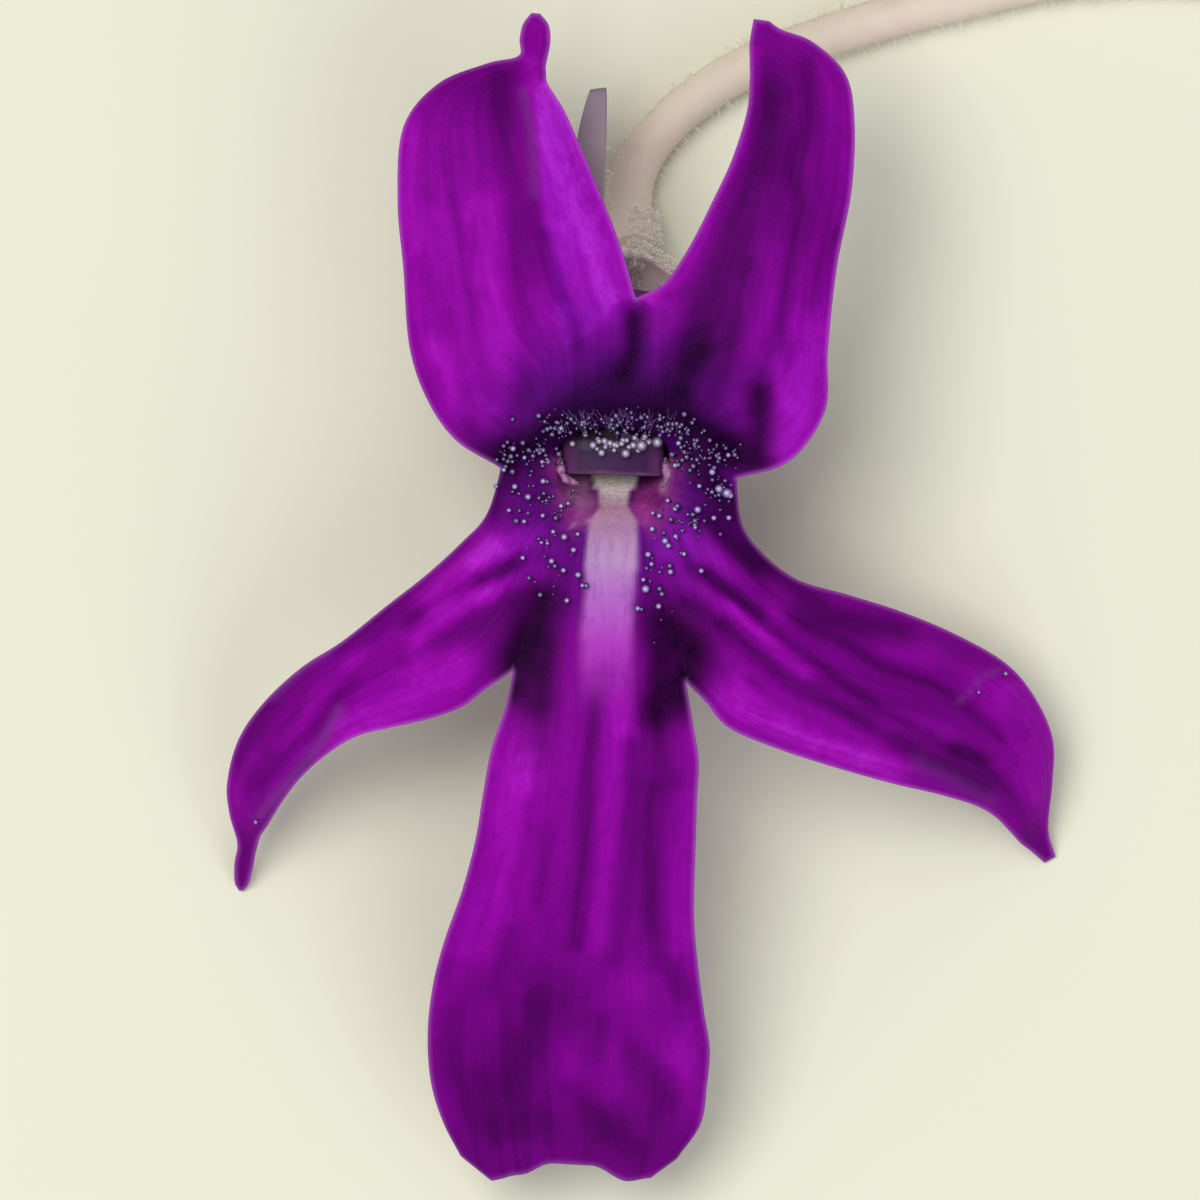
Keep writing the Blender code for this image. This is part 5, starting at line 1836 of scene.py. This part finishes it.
# The ramp darkens to near black towards the top: painted shade under the upper lip.
mauve_with_shade = stigma_finish.ramp(up + silk * 0.05, [
    (0.0, (96, 62, 100)), (0.07, (62, 32, 72)), (0.4, (54, 28, 64)),
    (0.6, (34, 16, 42)), (0.78, (12, 3, 16)),
])
across_flap = (across_flap * 2.0 - 1.0 + silk * 0.01) ** 2.0
sides = ((across_flap - SIDE_BLUSH) * 3.0).held() * (1.3 - up).held()
mauve_with_shade = stigma_finish.blended(sides * 0.8, mauve_with_shade, (108, 52, 106))
dew = (1 - ((up - DEW_LINE) ** 2.0 * 60.0).held()) * (1 - (across_flap * 1.6).held())
dew = dew * (silk * 0.4 + 0.5).held()
mauve_with_shade = stigma_finish.blended(dew * 0.6, mauve_with_shade, (128, 116, 136))
stigma_finish.paint(mauve_with_shade, 0.45)
stigma_finish.bump(silk, 0.01)
print("flap finish:", len(stigma_finish.tree.nodes), "nodes")

# %% [markdown]
# The stalk is a warm tan and matt, and paler towards the flower, where its wool begins; this paling is
# also painted light where the petals shade it. The sepals are grey-violet at their tips and almost white
# in the cup, where the white wool sits and where the near white is also painted light in the petals'
# shadow. Noise along a note would give them streaks, but none are seen at this size, so noise on the
# place mottles both a little.

# %% The finishes of the stalk and the sepals
PALE_START = 8.0
tan_finish = Finish("stalk_finish", Specular_IOR_Level=0.3)
grain = tan_finish.noise(tan_finish.place(), 900.0, 3.0, 0.6)
patches = tan_finish.noise(tan_finish.place(), 160.0, 2.0, 0.5)
tan = tan_finish.ramp(patches * 0.25 + grain * 0.1 + 0.5, [
    (0.0, (200, 172, 160)), (0.5, (218, 202, 184)), (1.0, (222, 214, 190)),
])
from_flower = (tan_finish.parts(tan_finish.place())[1] - SHIFT.y) * (1 / MM) - PALE_START
# Paler towards the flower: the pale wool there, and painted light in the petals' shadow.
tan = tan_finish.blended(0.75 - from_flower * 0.25, tan, (252, 236, 220))
tan = tan_finish.blended(tan_finish.mask("pith") * 0.9, tan, (186, 196, 140))
tan_finish.paint(tan, (0.6 + grain * 0.05).held())
tan_finish.bump(grain, 0.03)

sepal_finish = Finish("sepal_finish", Specular_IOR_Level=0.3)
length = sepal_finish.parts(sepal_finish.note())[1]
streaks = sepal_finish.noise(sepal_finish.place(), 700.0, 3.0, 0.6)
# Near white in the cup: the white wool, and painted light in the petals' shadow.
grey = sepal_finish.ramp(length + streaks * 0.06, [
    (0.0, (255, 246, 234)), (0.42, (252, 238, 226)), (0.56, (178, 160, 164)),
    (0.85, (160, 144, 152)), (1.0, (132, 114, 132)),
])
sepal_finish.paint(grey, 0.55)
sepal_finish.bump(streaks, 0.02)
print("stalk and sepal finishes:", len(tan_finish.tree.nodes), "and", len(sepal_finish.tree.nodes), "nodes")

# %% The finishes of the folds and the anthers


def mottled(name, dark, light, noise, contrast=0.5, relief=0.0, **constants):
    """A finish whose colour wanders between two, with noise of this scale, detail and roughness."""
    finish = Finish(name, **constants)
    spots = finish.noise(finish.place(), *noise)
    finish.paint(finish.blended(spots * contrast + 0.5, dark, light))
    if relief:
        finish.bump(spots, relief)
    return finish


fold_finish = mottled(
    "fold_finish", (112, 44, 106), (188, 134, 182), (5000.0, 3.0, 0.6), 0.8,
    Specular_IOR_Level=0.4, Roughness=0.45,
)
cream_finish = mottled(
    "anther_finish", (196, 180, 130), (216, 204, 160), (5000.0, 2.0, 0.6), relief=0.02,
    Specular_IOR_Level=0.3, Roughness=0.7,
)
print("fold and anther finishes:", len(fold_finish.tree.nodes), "and", len(cream_finish.tree.nodes), "nodes")

# %% [markdown]
# Each drop is nearly clear. Real refraction in hundreds of tiny balls would be slow and mostly noise. From
# this far a drop is a dark side and a bright top, so its colour runs with the direction in which its skin
# faces: a painted reflection of the tissue's violet at the sides and of the sky on top, and a smooth gloss
# does the rest.

# %% The finishes of the drops and their stems


def drop_like(name, stops):
    """A clear drop: it shines, and its colour runs from its sides to its top as a painted reflection of the
    tissue and the sky.
    """
    finish = Finish(name, Roughness=0.12, Specular_IOR_Level=0.7, IOR=1.4)
    sky_reflection = finish.parts(finish.node("NewGeometry").outputs["Normal"])[2]
    finish.paint(finish.ramp(sky_reflection, stops))
    return finish


# Each ramp paints a dark reflected side and a bright reflected sky on top.
drop_finish = drop_like("drop_finish", [
    (0.0, (48, 22, 66)), (0.5, (84, 58, 112)), (0.85, (142, 122, 178)),
    (1.0, (184, 174, 212)),
])
gland_finish = drop_like("gland_finish", [
    (0.0, (30, 10, 42)), (0.5, (48, 26, 68)), (0.85, (88, 68, 116)),
    (1.0, (134, 120, 162)),
])
pearl_finish = drop_like("pearl_finish", [
    (0.0, (48, 32, 58)), (0.5, (86, 70, 98)), (0.85, (132, 120, 148)),
    (1.0, (190, 182, 200)),
])
stem_finish = mottled(
    "stem_finish", (48, 18, 62), (88, 46, 108), (2500.0, 1.0, 0.5),
    Roughness=0.4, Specular_IOR_Level=0.4,
)
hair_finish = mottled(
    "hair_finish", (236, 230, 216), (254, 252, 244), (2500.0, 1.0, 0.5),
    Roughness=0.35, Specular_IOR_Level=0.6,
)
print("finishes:", len(bpy.data.materials))

# %% [markdown]
# ## Dressing the small parts
#
# Each piece gets its finish and rides with the root body, since nothing in a flower moves on a joint.
# Flap, filaments, sepals and stalk stand for the nodes of the solid model.

# %% Dressing the small parts
DRESS = {
    flap: (stigma_finish, "pistil"), style: (stigma_finish, "pistil"), ovary: (stigma_finish, "pistil"),
    pearls: (pearl_finish, "pistil"), pearl_stems: (stem_finish, "pistil"), calyx: (sepal_finish, "sepal"),
    stalk: (tan_finish, "stalk"), fine_stems: (hair_finish, "stalk"), fine_heads: (hair_finish, "stalk"),
    throat_stems: (stem_finish, "petal"), throat_heads: (gland_finish, "petal"),
    drops: (drop_finish, "petal"), drop_stems: (stem_finish, "petal"),
}
DRESS.update({fold: (fold_finish, "petal") for fold in folds})
DRESS.update({stamen: (cream_finish, "anther") for stamen in stamens})
for obj, (finish, slot) in DRESS.items():
    obj.data.materials.clear()
    obj.data.materials.append(finish.material)
    obj.data.shade_smooth()
    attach(obj, "root")
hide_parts("pistil")
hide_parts("calyx")
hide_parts("scape")
moved = {obj.name: round(kept_in_box(obj), 3) for obj in DRESS}
print("held in the box:", {name: far for name, far in moved.items() if far > 0})

# %% The number of pieces dressed
print("pieces dressed:", len(DRESS) + 1)
